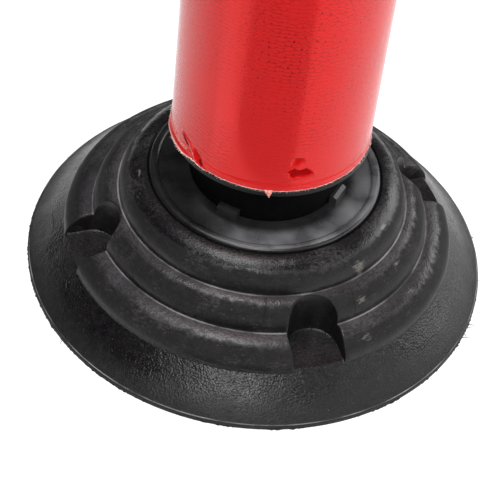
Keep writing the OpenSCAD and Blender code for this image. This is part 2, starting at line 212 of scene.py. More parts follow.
def moulded_rubber():
    """Recycled rubber crumb, compression moulded: near black, with a leathery grain; satin on
    the tops, duller down the rings' flanks, with scuffs and dust where feet and hands reach;
    pale lines at the upper rings' feet are partly painted highlight, and the black in the
    joint with the collar is partly painted shade."""
    material, tree, shader = new_material("moulded_rubber", IOR=1.5, Specular_IOR_Level=0.34)
    place = object_coordinates(tree)
    height = add(tree, "SeparateXYZ", {0: place}).outputs["Z"]
    flat = add(tree, "VectorMath", {0: place, 1: (1.0, 1.0, 0.0)}, operation="MULTIPLY")
    radius = add(tree, "VectorMath", {0: flat}, operation="LENGTH")
    # Follows the rings: round them at a fixed radius, across them by radius less height
    round_it = add(tree, "VectorMath", {0: flat}, operation="NORMALIZE")
    across = add(tree, "Math", {0: radius, 1: height}, operation="SUBTRACT")
    lift = add(tree, "CombineXYZ", {"Z": across})
    along = add(tree, "VectorMath", {0: round_it, 1: (0.09, 0.09, 0.0), 2: lift}, operation="MULTIPLY_ADD")
    thin = add(tree, "VectorMath", {0: along, 1: (0.5, 0.5, 1.0)}, operation="MULTIPLY")
    # The crumb's grain and the skin's leathery pebbling are both about 1.7 mm across
    scuff, scratch, patch, mottle, crumb, leather, swell = (
        add(tree, "TexNoise", {"Vector": where, "Scale": size, "Detail": detail, "Roughness": roughness})
        for where, size, detail, roughness in (
            (along, 420.0, 5.0, 0.7), (thin, 420.0, 4.0, 0.75), (place, 26.0, 3.0, 0.5), (place, 150.0, 5.0, 0.66),
            (place, 620.0, 2.0, 0.7), (place, 540.0, 1.0, 0.5), (place, 110.0, 1.0, 0.5),
        )
    )
    worn = add(tree, "Math", {0: scuff, 1: patch}, operation="MULTIPLY")
    on_rings, below, open_tops, lifted, worn_rim, streak, cloudy, satin = (
        add(tree, "MapRange", {"Value": value, "From Min": low, "From Max": high, "To Min": at_low, "To Max": at_high})
        for value, low, high, at_low, at_high in (
            (height, 0.042, 0.05, 0.0, 1.0), (height, 0.092, 0.1, 1.0, 0.15), (height, 0.0435, 0.05, 0.25, 1.0),
            (height, 0.092, 0.098, 0.0, 0.15), (height, 0.006, 0.026, 0.34, 0.0),
            (worn, 0.29, 0.4, 0.0, 0.5), (worn, 0.12, 0.42, 0.3, 0.9), (worn, 0.16, 0.36, 0.2, 0.36),
        )
    )
    # Scuffs lie on the rings only, in patches
    scuffed = add(tree, "Math", {0: streak, 1: on_rings}, operation="MULTIPLY")
    # Fine dust lies where the lower rings face up
    normal = add(tree, "TexCoord").outputs["Normal"]
    facing = add(tree, "SeparateXYZ", {0: normal}).outputs["Z"]
    upward = add(tree, "MapRange", {"Value": facing, "From Min": 0.87, "From Max": 0.99})
    lower_rings = add(tree, "Math", {0: below, 1: open_tops}, operation="MULTIPLY")
    settled = add(tree, "Math", {0: upward, 1: lower_rings}, operation="MULTIPLY")
    film = add(tree, "Math", {0: settled, 1: cloudy}, operation="MULTIPLY")
    # A few places carry fine pale scratches that run round the ring
    rubbed = add(tree, "Attribute", attribute_name="rubbed").outputs["Fac"]
    bare = add(tree, "Math", {0: rubbed, 1: scratch}, operation="MULTIPLY")
    bared = add(tree, "MapRange", {"Value": bare, "From Min": 0.4, "From Max": 0.52, "To Max": 0.6})
    # Pale lines at the foot of the upper rings, partly dust and partly painted highlight where the ring below turns up
    # to the light; the rim's edge is rubbed pale
    section = add(tree, "CombineXYZ", {"X": radius, "Y": height})
    crease_dust_and_highlight = None
    for r, z, reach in (
        (CREASE3_R + 0.7, CREASE3_Z, 1.3), (CREASE2_R + 0.7, CREASE2_Z, 1.3), (BASE_R - RIM_EDGE, RIM_H, 0.7),
    ):
        gap = add(tree, "VectorMath", {0: section, 1: (r * MM, z * MM, 0.0)}, operation="DISTANCE")
        near = add(tree, "MapRange", {
            "Value": gap, "From Min": 0.2 * MM, "From Max": reach * MM, "To Min": 0.8, "To Max": 0.0,
        })
        crease_dust_and_highlight = near if crease_dust_and_highlight is None else add(tree, "Math", {0: crease_dust_and_highlight, 1: near}, operation="MAXIMUM")
    broken = add(tree, "MapRange", {"Value": patch, "From Min": 0.4, "From Max": 0.62, "To Min": 0.12})
    dust_and_highlight = add(tree, "Math", {0: crease_dust_and_highlight, 1: broken}, operation="MULTIPLY")
    speck = add(tree, "MapRange", {"Value": crumb, "From Min": 0.68, "From Max": 0.74, "To Max": 0.55})
    # Black in the joint with the collar: partly grime, partly painted shade of the gap
    joint = add(tree, "MapRange", {
        "Value": radius, "From Min": (SEAT_R + 1.6) * MM, "From Max": (SEAT_R + 2.6) * MM,
        "To Min": 0.9, "To Max": 0.0,
    })
    high_up = add(tree, "Math", {0: height, 1: CREASE3_Z * MM}, operation="GREATER_THAN")
    grime_and_gap_shade = add(tree, "Math", {0: joint, 1: high_up}, operation="MULTIPLY")
    body = add(tree, "MapRange", {"Value": mottle, "From Min": 0.35, "From Max": 0.68})
    skin = add(tree, "Mix", {0: body, 6: lin("#0A090A"), 7: lin("#171517")}, data_type="RGBA")
    for share, colour in (
        (scuffed, "#434143"), (film, "#4A484A"), (bared, "#78746F"), (dust_and_highlight, "#928F8E"), (speck, "#767476"),
        (grime_and_gap_shade, "#020202"),
    ):
        skin = add(tree, "Mix", {0: share, 6: skin, 7: lin(colour)}, data_type="RGBA")
    # Flanks keep the dull skin of the mould: past 25 degrees on the lower rings, 40 on the top one
    ragged = add(tree, "MapRange", {
        "Value": mottle, "From Min": 0.35, "From Max": 0.65, "To Min": -0.05, "To Max": 0.05,
    })
    uneven = add(tree, "Math", {0: lifted, 1: ragged}, operation="ADD")
    level = add(tree, "Math", {0: facing, 1: uneven}, operation="ADD")
    flank = add(tree, "MapRange", {"Value": level, "From Min": 0.84, "From Max": 0.94, "To Min": 0.55, "To Max": 0.0})
    # Their steep feet and the pockets' walls, which nothing rubs, are smoother again
    steep = add(tree, "MapRange", {"Value": facing, "From Min": 0.2, "From Max": 0.6, "To Min": 0.15})
    steeper = add(tree, "Math", {0: flank, 1: steep}, operation="MULTIPLY")
    duller = add(tree, "Math", {0: steeper, 1: on_rings}, operation="MULTIPLY")
    # The flange is dull towards its rim, where feet and floors wear it
    dull = add(tree, "Math", {0: duller, 1: worn_rim}, operation="ADD")
    rough = add(tree, "Math", {0: satin, 1: dull}, operation="ADD")
    smoother = add(tree, "MapRange", {"Value": on_rings, "To Min": 1.0, "To Max": 0.4})
    pebbled = add(tree, "Math", {0: leather, 1: smoother}, operation="MULTIPLY")
    drag = add(tree, "Math", {0: scuff, 1: on_rings}, operation="MULTIPLY")
    surface = add(tree, "Bump", {"Height": pebbled, "Distance": 0.75 * MM, "Strength": 0.8})
    for relief, depth, strength in ((crumb, 0.035, 0.8), (swell, 0.36, 0.8), (drag, 0.05, 0.7)):
        surface = add(tree, "Bump", {"Height": relief, "Distance": depth * MM, "Strength": strength, "Normal": surface})
    feed(shader, {"Base Color": skin, "Roughness": rough, "Normal": surface})
    return material


def moulded_abs():
    """Injection-moulded ABS: charcoal and satin, its skin faintly uneven from the mould, black
    round its outer edge, partly grime and partly painted shade of the gap; painted shadow of the
    bag darkens it round the neck's foot and over one side."""
    material, tree, shader = new_material("moulded_abs", IOR=1.5)
    place = object_coordinates(tree)
    flat = add(tree, "VectorMath", {0: place, 1: (1.0, 1.0, 0.0)}, operation="MULTIPLY")
    radius = add(tree, "VectorMath", {0: flat}, operation="LENGTH")
    cloud = add(tree, "TexNoise", {"Vector": place, "Scale": 36.0, "Detail": 4.0})
    fine = add(tree, "TexNoise", {"Vector": place, "Scale": 520.0, "Detail": 3.0})
    tone = add(tree, "MapRange", {"Value": cloud, "From Min": 0.35, "From Max": 0.65})
    # Black round the outer edge: partly grime, partly painted shade of the gap
    edge = add(tree, "MapRange", {"Value": radius, "From Min": 114.9 * MM, "From Max": 115.7 * MM, "To Max": 0.95})
    # Darker round the neck's foot: painted shadow under the disc
    foot = add(
        tree, "MapRange",
        {"Value": radius, "From Min": 84.0 * MM, "From Max": 96.0 * MM, "To Min": 0.85, "To Max": 0.0},
        interpolation_type="SMOOTHSTEP",
    )
    # One side of the plate is darker: painted shadow of the column
    aside = add(tree, "VectorMath", {0: place, 1: (-1.0, 0.12, 0.0)}, operation="DOT_PRODUCT")
    shaded_side = add(
        tree, "MapRange", {"Value": aside, "From Min": 0.02, "From Max": 0.09, "To Max": 0.92},
        interpolation_type="SMOOTHSTEP",
    )
    inner = add(tree, "Math", {0: shaded_side, 1: foot}, operation="MAXIMUM")
    grime_and_shade = add(tree, "Math", {0: edge, 1: inner}, operation="MAXIMUM")
    fleck = add(tree, "MapRange", {"Value": fine, "From Min": 0.67, "From Max": 0.75, "To Max": 0.35})
    skin = add(tree, "Mix", {0: tone, 6: lin("#464547"), 7: lin("#6C6B6D")}, data_type="RGBA")
    for share, colour in ((grime_and_shade, "#050505"), (fleck, "#777677")):
        skin = add(tree, "Mix", {0: share, 6: skin, 7: lin(colour)}, data_type="RGBA")
    rough = add(tree, "MapRange", {"Value": cloud, "From Min": 0.3, "From Max": 0.7, "To Min": 0.24, "To Max": 0.4})
    swell = add(tree, "Bump", {"Height": cloud, "Distance": 0.3 * MM, "Strength": 0.6})
    pores = add(tree, "Bump", {"Height": fine, "Distance": 0.05 * MM, "Strength": 0.6, "Normal": swell})
    feed(shader, {"Base Color": skin, "Roughness": rough, "Normal": pores})
    return material


def plain_finish(name, dark, light, roughness, spot, bump_mm, **surface):
    """A moulded or rolled surface: two close tones mottled at a spot size, with a fine uneven skin."""
    material, tree, shader = new_material(name, **surface)
    place = object_coordinates(tree)
    mottle = add(tree, "TexNoise", {"Vector": place, "Scale": 1 / (spot * MM), "Detail": 4.0})
    tones = add(tree, "ValToRGB", {"Fac": mottle})
    for stop, at, colour in zip(tones.color_ramp.elements, (0.32, 0.7), (dark, light)):
        stop.position, stop.color = at, lin(colour)
    rough = add(tree, "MapRange", {
        "Value": mottle, "From Min": 0.3, "From Max": 0.7, "To Min": roughness[0], "To Max": roughness[1],
    })
    bump = add(tree, "Bump", {"Height": mottle, "Distance": bump_mm * MM, "Strength": 0.6})
    feed(shader, {"Base Color": tones, "Roughness": rough, "Normal": bump})
    return material


def embossed_vinyl():
    """Calendered PVC vinyl on a knit backing, rolled with a small scale emboss: a saturated red
    whose tight gloss is tinted by the pigment; torn places show deep red, cut edges pale knit.
    Painted shade darkens the grooves under each scale, and deep red and near-black paint the
    shade in the fold, the curl's crease and the slit."""
    material, tree, shader = new_material(
        "embossed_vinyl", IOR=1.75, Specular_IOR_Level=0.9, Specular_Tint=lin("#FF2E24"),
    )
    # Each scale is about 7 mm wide and 4.2 mm high, with its deepest groove along its lower side
    wrap = add(tree, "UVMap", uv_map="wrap")
    cells = add(tree, "Mapping", {"Vector": wrap, "Scale": (1 / (7.0 * MM), 1 / (4.2 * MM), 1.0)})
    web, scale = (
        add(
            tree, "TexVoronoi", {"Vector": cells, "Scale": 1.0, "Randomness": 0.8},
            voronoi_dimensions="2D", feature=feature,
        )
        for feature in ("DISTANCE_TO_EDGE", "F1")
    )
    rise = add(tree, "VectorMath", {0: cells, 1: scale.outputs["Position"]}, operation="SUBTRACT")
    over_middle = add(tree, "SeparateXYZ", {0: rise}).outputs["Y"]
    under = add(tree, "MapRange", {"Value": over_middle, "From Min": -0.08, "From Max": -0.3, "To Min": 0.08})
    crease = add(
        tree, "MapRange",
        {"Value": web, "From Min": 0.03, "From Max": 0.2, "To Min": 1.0, "To Max": 0.0},
        interpolation_type="SMOOTHSTEP",
    )
    place = object_coordinates(tree)
    height = add(tree, "SeparateXYZ", {0: place}).outputs["Z"]
    # The emboss is worn flat in soft patches and towards the column's foot, so its grooves come and go
    rubbed = add(tree, "TexNoise", {"Vector": place, "Scale": 17.0, "Detail": 3.0})
    patchy = add(tree, "MapRange", {"Value": rubbed, "From Min": 0.38, "From Max": 0.6, "To Min": 0.3})
    foot = add(tree, "MapRange", {"Value": height, "From Min": 0.2, "From Max": 0.33, "To Min": 0.6})
    kept = add(tree, "Math", {0: patchy, 1: foot}, operation="MULTIPLY")
    line = add(tree, "Math", {0: crease, 1: under}, operation="MULTIPLY")
    groove = add(tree, "Math", {0: line, 1: kept}, operation="MULTIPLY")
    # Darkening the grooves, most along each scale's lower side, paints their shade
    groove_shade = add(tree, "Math", {0: groove, 1: 0.9}, operation="MULTIPLY")
    torn_and_shade, slit, raw = (
        add(tree, "Attribute", attribute_name=name).outputs["Fac"] for name in ("torn_and_shade", "slit", "raw")
    )
    thread = add(tree, "TexNoise", {"Vector": place, "Scale": 560.0, "Detail": 2.0})
    knit = add(tree, "Math", {0: thread, 1: raw}, operation="MULTIPLY")
    frayed = add(tree, "MapRange", {"Value": knit, "From Min": 0.2, "From Max": 0.5})
    # Stretched film shows saturated, and the film's torn inside darker still; the same deep reds paint the shade in the
    # fold and along the curl's crease
    skin = add(tree, "ValToRGB", {"Fac": torn_and_shade})
    skin.color_ramp.elements[0].color = lin("#CB2627")
    skin.color_ramp.elements[1].color = lin("#8C0004")
    skin.color_ramp.elements.new(0.5).color = lin("#BE0208")
    # Near-black in the slit and at the fold's end is painted shade in the cut and the fold
    for share, colour in ((groove_shade, "#7E0A10"), (frayed, "#E9C3BB"), (slit, "#170304")):
        skin = add(tree, "Mix", {0: share, 6: skin, 7: lin(colour)}, data_type="RGBA")
    dull = add(tree, "Math", {0: torn_and_shade, 1: raw}, operation="MAXIMUM")
    duller = add(tree, "Math", {0: dull, 1: slit}, operation="MAXIMUM")
    rough = add(tree, "MapRange", {"Value": duller, "To Min": 0.15, "To Max": 0.85})
    emboss = add(tree, "Bump", {"Height": groove, "Distance": 0.16 * MM, "Strength": 0.85}, invert=True)
    feed(shader, {"Base Color": skin, "Roughness": rough, "Normal": emboss})
    return material


rubber = moulded_rubber()
vinyl = embossed_vinyl()
# Soft moulded rubber with carbon black: deep black, darkened further by painted shade under the disc, and so matt that
# it shows hardly any light
boot_rubber = plain_finish(
    "boot_rubber", "#040404", "#080809", (0.6, 0.75), 9, 0.05, IOR=1.5, Specular_IOR_Level=0.05,
)
collar_plastic = moulded_abs()
# Injection-moulded polypropylene: black, with a soft waxy sheen
disc_plastic = plain_finish(
    "disc_plastic", "#0C0C0D", "#161617", (0.34, 0.48), 26, 0.12, IOR=1.5, Specular_IOR_Level=0.24,
)
# Pressed steel under powder coat: dark grey satin, faintly clouded
pressed_steel = plain_finish("pressed_steel", "#202123", "#2B2C2E", (0.35, 0.5), 6, 0.05, IOR=1.5)
# Drawn wire, oil tempered: mid grey metal whose gloss wavers along the turns
spring_steel = plain_finish("spring_steel", "#55585B", "#6E7174", (0.28, 0.42), 4, 0.03, Metallic=1.0)
# Zinc plating on bolts and nuts: pale, bright and a little blotchy
zinc_plate = plain_finish("zinc_plate", "#A9ACA9", "#C9CBC7", (0.22, 0.38), 3, 0.02, Metallic=1.0)
# Cut polyurethane foam: grey, open celled and quite matt
foam = plain_finish("padding_foam", "#45474B", "#55575C", (0.85, 0.95), 2.5, 0.6)
# Extruded PVC pipe: even grey with a smooth satin skin
grey_pipe = plain_finish("grey_pipe", "#7E8183", "#8B8E90", (0.3, 0.42), 30, 0.08, IOR=1.5)
# Polyester knit behind the vinyl, pale and fuzzy; where it tore it is pinked by the film's pigment
knit_backing = plain_finish("knit_backing", "#DDA89F", "#F6E6E0", (0.8, 0.95), 1.5, 0.3)
torn_backing = plain_finish("torn_backing", "#C4463F", "#EDB7AC", (0.6, 0.8), 1.6, 0.3)
# Bonded polyester thread: dull red beside the glossy film
sewing_thread = plain_finish("sewing_thread", "#A31418", "#BC1F22", (0.5, 0.65), 1.2, 0.1)
# PVC film drawn over a cord: plain red with a soft gloss
piping = plain_finish("piping", "#A80F14", "#C0171B", (0.28, 0.4), 8, 0.05, IOR=1.5)

# ---- Mesh helpers ----


class Patchwork:
    """Collects points in millimetres and faces for one mesh."""

    def __init__(self):
        self.points, self.faces = [], []

    def row(self, points):
        start = len(self.points)
        self.points += points
        return list(range(start, len(self.points)))

    def strips(self, rows, closed=False):
        """Faces between rows of equal length."""
        for a, b in zip(rows, rows[1:]):
            for i in range(len(a) if closed else len(a) - 1):
                j = (i + 1) % len(a)
                self.faces.append((a[i], a[j], b[j], b[i]))


def polar(r, degrees, z):
    t = math.radians(degrees)
    return (r * math.cos(t), r * math.sin(t), z)


def turned(p, degrees):
    t = math.radians(degrees)
    c, s = math.cos(t), math.sin(t)
    return (c * p[0] - s * p[1], s * p[0] + c * p[1], p[2])


def spread(a, b, n):
    return [a + (b - a) * i / n for i in range(n + 1)]


def raw_mesh(name, points, faces, edges=()):
    """A mesh from points in millimetres."""
    mesh = bpy.data.meshes.new(name)
    mesh.from_pydata([(x * MM, y * MM, z * MM) for x, y, z in points], edges, faces)
    return mesh


def mesh_object(name, work, material, sharp_deg):
    return finish_mesh(name, raw_mesh(name, work.points, work.faces), material, sharp_deg)


def finish_mesh(name, mesh, material, sharp_deg):
    """Merges doubles, turns the faces outwards, and shades smooth but for edges past sharp_deg."""
    shell = bmesh.new()
    shell.from_mesh(mesh)
    bmesh.ops.remove_doubles(shell, verts=shell.verts, dist=0.004 * MM)
    bmesh.ops.dissolve_degenerate(shell, edges=shell.edges, dist=0.002 * MM)
    bmesh.ops.recalc_face_normals(shell, faces=shell.faces)
    shell.to_mesh(mesh)
    shell.free()
    mesh.shade_smooth()
    mesh.set_sharp_from_angle(angle=math.radians(sharp_deg))
    mesh.materials.clear()
    mesh.materials.append(material)
    return placed(name, mesh)


def arc(cx, cy, rx, ry, a, b, n):
    """Points of an elliptic arc from angle a to angle b, in degrees."""
    turns = [math.radians(a + (b - a) * i / n) for i in range(n + 1)]
    return [(cx + rx * math.cos(t), cy + ry * math.sin(t)) for t in turns]


def revolve(profile, columns):
    """A closed (radius, height) profile turned round the axis; radius 0 makes a pole."""
    work = Patchwork()
    rows = [work.row([polar(r, 360 * c / columns, z) for c in range(columns)]) for r, z in profile]
    work.strips([*rows, rows[0]], closed=True)
    return work


def rumple(p, span, seed):
    """Smooth noise of about -1 to 1 that changes over span millimetres."""
    return noise.noise(Vector(p) / span + Vector((seed, 2.3 * seed, 0.7 * seed)))


# ---- Rubber base ----

SECTOR = 15.0          # half of the sector round a pocket, in degrees
SIDE_COLUMNS = 12      # between a pocket's edge and its sector's side
GAP_COLUMNS = 40       # between two sectors
MOUTH_COLUMNS = 14     # across a pocket's floor
SEAT_ROUND = 2.0       # rounding of the top ring's edge round the collar
LIP_ROUND = 1.9        # rounding of a pocket's upper edge
FLOOR_ROUND = 1.6      # rounding at the foot of a pocket's wall
LIP_STEPS, WALL_STEPS, FOOT_STEPS = 4, 6, 3
FLANGE_ROWS, WELL_COLUMNS, BOLT_COLUMNS = 20, 96, 24
ROUND_X = POCKET_IN_R + POCKET_W / 2


def ring_height(r):
    """Height of the stepped cone at a radius."""
    for inner, width, foot, height in (
        (SEAT_R, RING3_W, CREASE3_Z, RING3_H),
        (CREASE3_R, RING2_W, CREASE2_Z, RING2_H),
        (CREASE2_R, RING1_W, FLANGE_H, RING1_H),
    ):
        if r <= inner + width + 1e-6:
            into = max(0.0, SEAT_R + SEAT_ROUND - r)
            drop = SEAT_ROUND - math.sqrt(max(0.0, SEAT_ROUND ** 2 - into ** 2))
            return foot + height * math.sqrt(max(0.0, 1 - ((r - inner) / width) ** 2)) - drop
    slope = (FLANGE_H - RIM_H) / (BASE_R - RIM_EDGE - CREASE1_R)
    return FLANGE_H - slope * (r - CREASE1_R)


def pocket_floor(r):
    """Height of a pocket's floor, which ramps down to the flange's upper edge."""
    ramp = (r - POCKET_FLOOR_R) / (CREASE1_R - POCKET_FLOOR_R)
    return POCKET_FLOOR_Z - (POCKET_FLOOR_Z - FLANGE_H) * min(1.0, max(0.0, ramp))


def outline_meets(r, d):
    """Where a circle about the axis meets the pocket's outline, set d outwards."""
    half = POCKET_W / 2 + d
    x = (r * r + ROUND_X ** 2 - half ** 2) / (2 * ROUND_X)
    if x <= ROUND_X:
        return x, math.sqrt(max(0.0, r * r - x * x))
    return math.sqrt(r * r - half ** 2), half


def outline_angle(d):
    """Angle about the pocket's round end at which its outline reaches the middle crease."""
    x, y = outline_meets(CREASE2_R, d)
    return math.atan2(y, ROUND_X - x)


def base_rows():
    """Radii of the grid's rows: (inner rows, rows that a pocket cuts)."""
    tip = POCKET_IN_R - LIP_ROUND
    quarter = [math.sin(math.radians(3.75 * i)) for i in range(25)]
    inner = [SEAT_R + d for d in (0.0, 0.1, 0.35, 0.8, 1.35)] + [SEAT_R + RING3_W * s for s in quarter[1:]]
    inner += [CREASE3_R + 0.5]
    cluster = [tip + (165.0 - tip) * (i / 17) ** 2 for i in range(18)]
    steep = [CREASE3_R + RING2_W * s for s in quarter if CREASE3_R + RING2_W * s > 166.0]
    low = [CREASE2_R + RING1_W * s for s in quarter[1:]]
    return inner, cluster + steep + low


def pocket_point(r, d):
    """A point of the pocket's outline set d outwards, for the row whose lip has radius r."""
    if r > CREASE2_R - 1e-6:
        return outline_meets(r, d)
    x, y = outline_meets(r, LIP_ROUND)
    share = math.atan2(y, ROUND_X - x) / outline_angle(LIP_ROUND)
    t = share * outline_angle(d)
    half = POCKET_W / 2 + d
    return ROUND_X - half * math.cos(t), half * math.sin(t)


def pocket_section(r):
    """(x, y, z) points from a pocket's lip down its wall to its floor, on the +y side."""
    top = ring_height(r)
    points = []
    for i in range(LIP_STEPS + 1):
        t = math.radians(90 * i / LIP_STEPS)
        x, y = pocket_point(r, LIP_ROUND * (1 - math.sin(t)))
        points.append((x, y, max(pocket_floor(math.hypot(x, y)), top - LIP_ROUND * (1 - math.cos(t)))))
    x, y, edge_z = points[-1]
    floor = pocket_floor(math.hypot(x, y))
    foot_z = min(edge_z, floor + FLOOR_ROUND)
    for i in range(1, WALL_STEPS + 1):
        points.append((x, y, edge_z + (foot_z - edge_z) * i / WALL_STEPS))
    for i in range(1, FOOT_STEPS + 1):
        t = math.radians(90 * i / FOOT_STEPS)
        x, y = pocket_point(r, -FLOOR_ROUND * (1 - math.cos(t)))
        floor = pocket_floor(math.hypot(x, y))
        points.append((x, y, floor + (foot_z - floor) * (1 - math.sin(t))))
    return points


def base_top(work):
    """The stepped cone with its four pockets; returns its innermost row."""
    inner, cut = base_rows()
    rings = []
    for r in inner:
        degrees = []
        for pocket in range(4):
            middle = 90 * pocket
            degrees += [middle + a for a in spread(-SECTOR, SECTOR, 2 * SIDE_COLUMNS)[:-1]]
            degrees += [middle + a for a in spread(SECTOR, 90 - SECTOR, GAP_COLUMNS)[:-1]]
        rings.append(work.row([polar(r, a, ring_height(r)) for a in degrees]))
    work.strips(rings, closed=True)
    last_ring = rings[-1]
    per_pocket = 2 * SIDE_COLUMNS + GAP_COLUMNS
    for pocket in range(4):
        middle = 90 * pocket
        start = pocket * per_pocket
        # Between the pockets
        band = [[last_ring[(start + 2 * SIDE_COLUMNS + i) % len(last_ring)] for i in range(GAP_COLUMNS + 1)]]
        gap = spread(SECTOR, 90 - SECTOR, GAP_COLUMNS)
        band += [work.row([polar(r, middle + a, ring_height(r)) for a in gap]) for r in cut]
        work.strips(band)
        # Beside the pocket, from its lip to the sector's side
        for side in (1, -1):
            strip = [[last_ring[(start + SIDE_COLUMNS + side * i) % len(last_ring)] for i in range(SIDE_COLUMNS + 1)]]
            for r in cut:
                x, y = pocket_point(r, LIP_ROUND)
                edge = math.degrees(math.atan2(y, x))
                strip.append(work.row([
                    polar(r, middle + side * a, ring_height(r)) for a in spread(edge, SECTOR, SIDE_COLUMNS)
                ]))
            work.strips(strip)
            wall = []
            for r in cut:
                section = [(x, side * y, z) for x, y, z in pocket_section(r)]
                wall.append(work.row([turned(p, middle) for p in section]))
            work.strips(wall)
        floor = []
        for r in cut:
            x, y, z = pocket_section(r)[-1]
            reach, edge = math.hypot(x, y), math.degrees(math.atan2(y, x))
            floor.append(work.row([
                polar(reach, middle + a, pocket_floor(reach)) for a in spread(-edge, edge, MOUTH_COLUMNS)
            ]))
        work.strips(floor)
    return rings[0]


def flange_angles():
    """Angles of the columns at the flange's upper edge, where the pockets end."""
    lip = [math.degrees(math.atan2(y, x)) for x, y, z in pocket_section(CREASE1_R)]
    lip = [lip[i] for i in range(LIP_STEPS + 1)] + lip[LIP_STEPS + WALL_STEPS + 1:]
    side = spread(SECTOR, lip[0], SIDE_COLUMNS)[:-1] + lip
    mouth = spread(lip[-1], -lip[-1], MOUTH_COLUMNS)[1:-1]
    half = [*side, *mouth, *[-a for a in reversed(side)]]
    degrees = []
    for pocket in range(4):
        degrees += [90 * pocket + a for a in reversed(half)]
        degrees += [90 * pocket + a for a in spread(SECTOR, 90 - SECTOR, GAP_COLUMNS)[1:-1]]
    return degrees


def base_flange(work):
    """The flange, the rim and the underside out to the recess."""
    degrees = flange_angles()
    foot_r = BASE_R - RIM_EDGE
    profile = [(r, ring_height(r)) for r in spread(CREASE1_R, foot_r, FLANGE_ROWS)]
    profile += arc(foot_r, RIM_H - RIM_EDGE, RIM_EDGE, RIM_EDGE, 90, 0, 4)[1:]
    profile += [(BASE_R, SOLE_EDGE), (BASE_R - SOLE_EDGE, 0.0), (BASE_R - RIM_SOLE_W, 0.0)]
    profile += [(BASE_R - RIM_SOLE_W - RELIEF_H, RELIEF_H), (RECESS_R + HUB_SOLE_W + RELIEF_H, RELIEF_H)]
    profile += [(RECESS_R + HUB_SOLE_W, 0.0), (RECESS_R, 0.0), (RECESS_R, RECESS_H)]
    rows = [work.row([polar(r, a, z) for a in degrees]) for r, z in profile]
    work.strips(rows, closed=True)
    return rows[-1]


def base_seat(work, ring):
    """From the top ring down under the collar to the seat's inner face."""
    degrees = [math.degrees(math.atan2(work.points[i][1], work.points[i][0])) for i in ring]
    profile = [(SEAT_R, SEAT_Z), (SPIGOT_OUT_R, SEAT_Z), (SPIGOT_OUT_R, SEAT_Z - SPIGOT_DEEP)]
    profile += [(SPIGOT_IN_R, SEAT_Z - SPIGOT_DEEP), (SPIGOT_IN_R, SEAT_Z)]
    rows = [ring] + [work.row([polar(r, a, z) for a in degrees]) for r, z in profile]
    work.strips(rows, closed=True)
    return rows[-1]


def fill_between(shell, loops):
    """Fills a flat face bounded by closed loops of vertices, the holes among them."""
    edges = []
    for loop in loops:
        for a, b in zip(loop, loop[1:] + loop[:1]):
            edges.append(shell.edges.get((a, b)) or shell.edges.new((a, b)))
    bmesh.ops.triangle_fill(shell, use_beauty=True, edges=edges)


def rumpled(made):
    """Uneven rubber: moves the base's outer skin a few tenths of a millimetre along its normals."""
    skin = [(v.co.copy(), v.normal.copy()) for v in made.data.vertices]
    moved = []
    for co, normal in skin:
        p = co / MM
        r = math.hypot(p.x, p.y)
        if p.z > 1.0 and r > SEAT_R + 0.5:
            # It fades out at the seat and the foot, which other pieces and the floor touch
            hold = min(1.0, (r - SEAT_R) / 6.0) * min(1.0, (p.z - 1.0) / 6.0)
            co = co + normal * (hold * MM * (0.42 * rumple(p, 26.0, 3.1) + 0.14 * rumple(p, 8.0, 7.7)))
        moved.extend(co)
    made.data.vertices.foreach_set("co", moved)
    made.data.update()


# Rubbed spots on the rings as (azimuth, radius, size)
RUBBED = [(-67.0, 145.5, 15.0), (-72.0, 167.5, 13.0), (-74.0, 194.5, 14.0), (-47.0, 136.0, 12.0), (-51.6, 161.5, 14.0),
          (-51.3, 184.0, 13.0), (24.0, 168.0, 14.0), (118.0, 145.0, 12.0), (66.0, 190.0, 13.0), (170.0, 128.0, 12.0)]


def mark_rubbed(made):
    """Writes how far each point of the base is rubbed."""
    shares = []
    for vertex in made.data.vertices:
        p = vertex.co / MM
        r, a = math.hypot(p.x, p.y), math.degrees(math.atan2(p.y, p.x))
        share = 0.0
        if p.z > FLANGE_H + 4:
            for spot_a, spot_r, size in RUBBED:
                turn = math.radians((a - spot_a + 180) % 360 - 180) * r
                share = max(share, math.exp(-(turn / size) ** 2 - ((r - spot_r) / (0.34 * size)) ** 2))
        shares.append(share)
    made.data.attributes.new("rubbed", "FLOAT", "POINT").data.foreach_set("value", shares)


def on_base(made):
    """A piece of the base's rubber, which moves with the base."""
    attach(made, "base")


def moulded_base():
    work = Patchwork()
    seat_row = base_seat(work, base_top(work))
    recess_row = base_flange(work)
    well = [
        work.row([polar(WELL_R, 360 * c / WELL_COLUMNS, z) for c in range(WELL_COLUMNS)])
        for z in (SEAT_Z, WELL_Z)
    ]
    work.strips(well, closed=True)
    holes = []
    for i in range(BOLT_COUNT):
        middle = polar(BOLT_CIRCLE_R, BOLT_PHASE + 360 * i / BOLT_COUNT, 0)
        rows = [
            work.row([
                (middle[0] + BOLT_HOLE_R * math.cos(2 * math.pi * c / BOLT_COLUMNS),
                 middle[1] + BOLT_HOLE_R * math.sin(2 * math.pi * c / BOLT_COLUMNS), z)
                for c in range(BOLT_COLUMNS)
            ])
            for z in (SEAT_Z, RECESS_H)
        ]
        work.strips(rows, closed=True)
        holes.append(rows)
    mesh = raw_mesh("moulded_base", work.points, work.faces)
    shell = bmesh.new()
    shell.from_mesh(mesh)
    shell.verts.ensure_lookup_table()
    for face in ([seat_row, well[0], *[h[0] for h in holes]], [recess_row, *[h[1] for h in holes]], [well[1]]):
        fill_between(shell, [[shell.verts[i] for i in row] for row in face])
    shell.to_mesh(mesh)
    shell.free()
    made = finish_mesh("moulded_base", mesh, rubber, 38.0)
    rumpled(made)
    mark_rubbed(made)
    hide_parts("rubber_base")
    on_base(made)


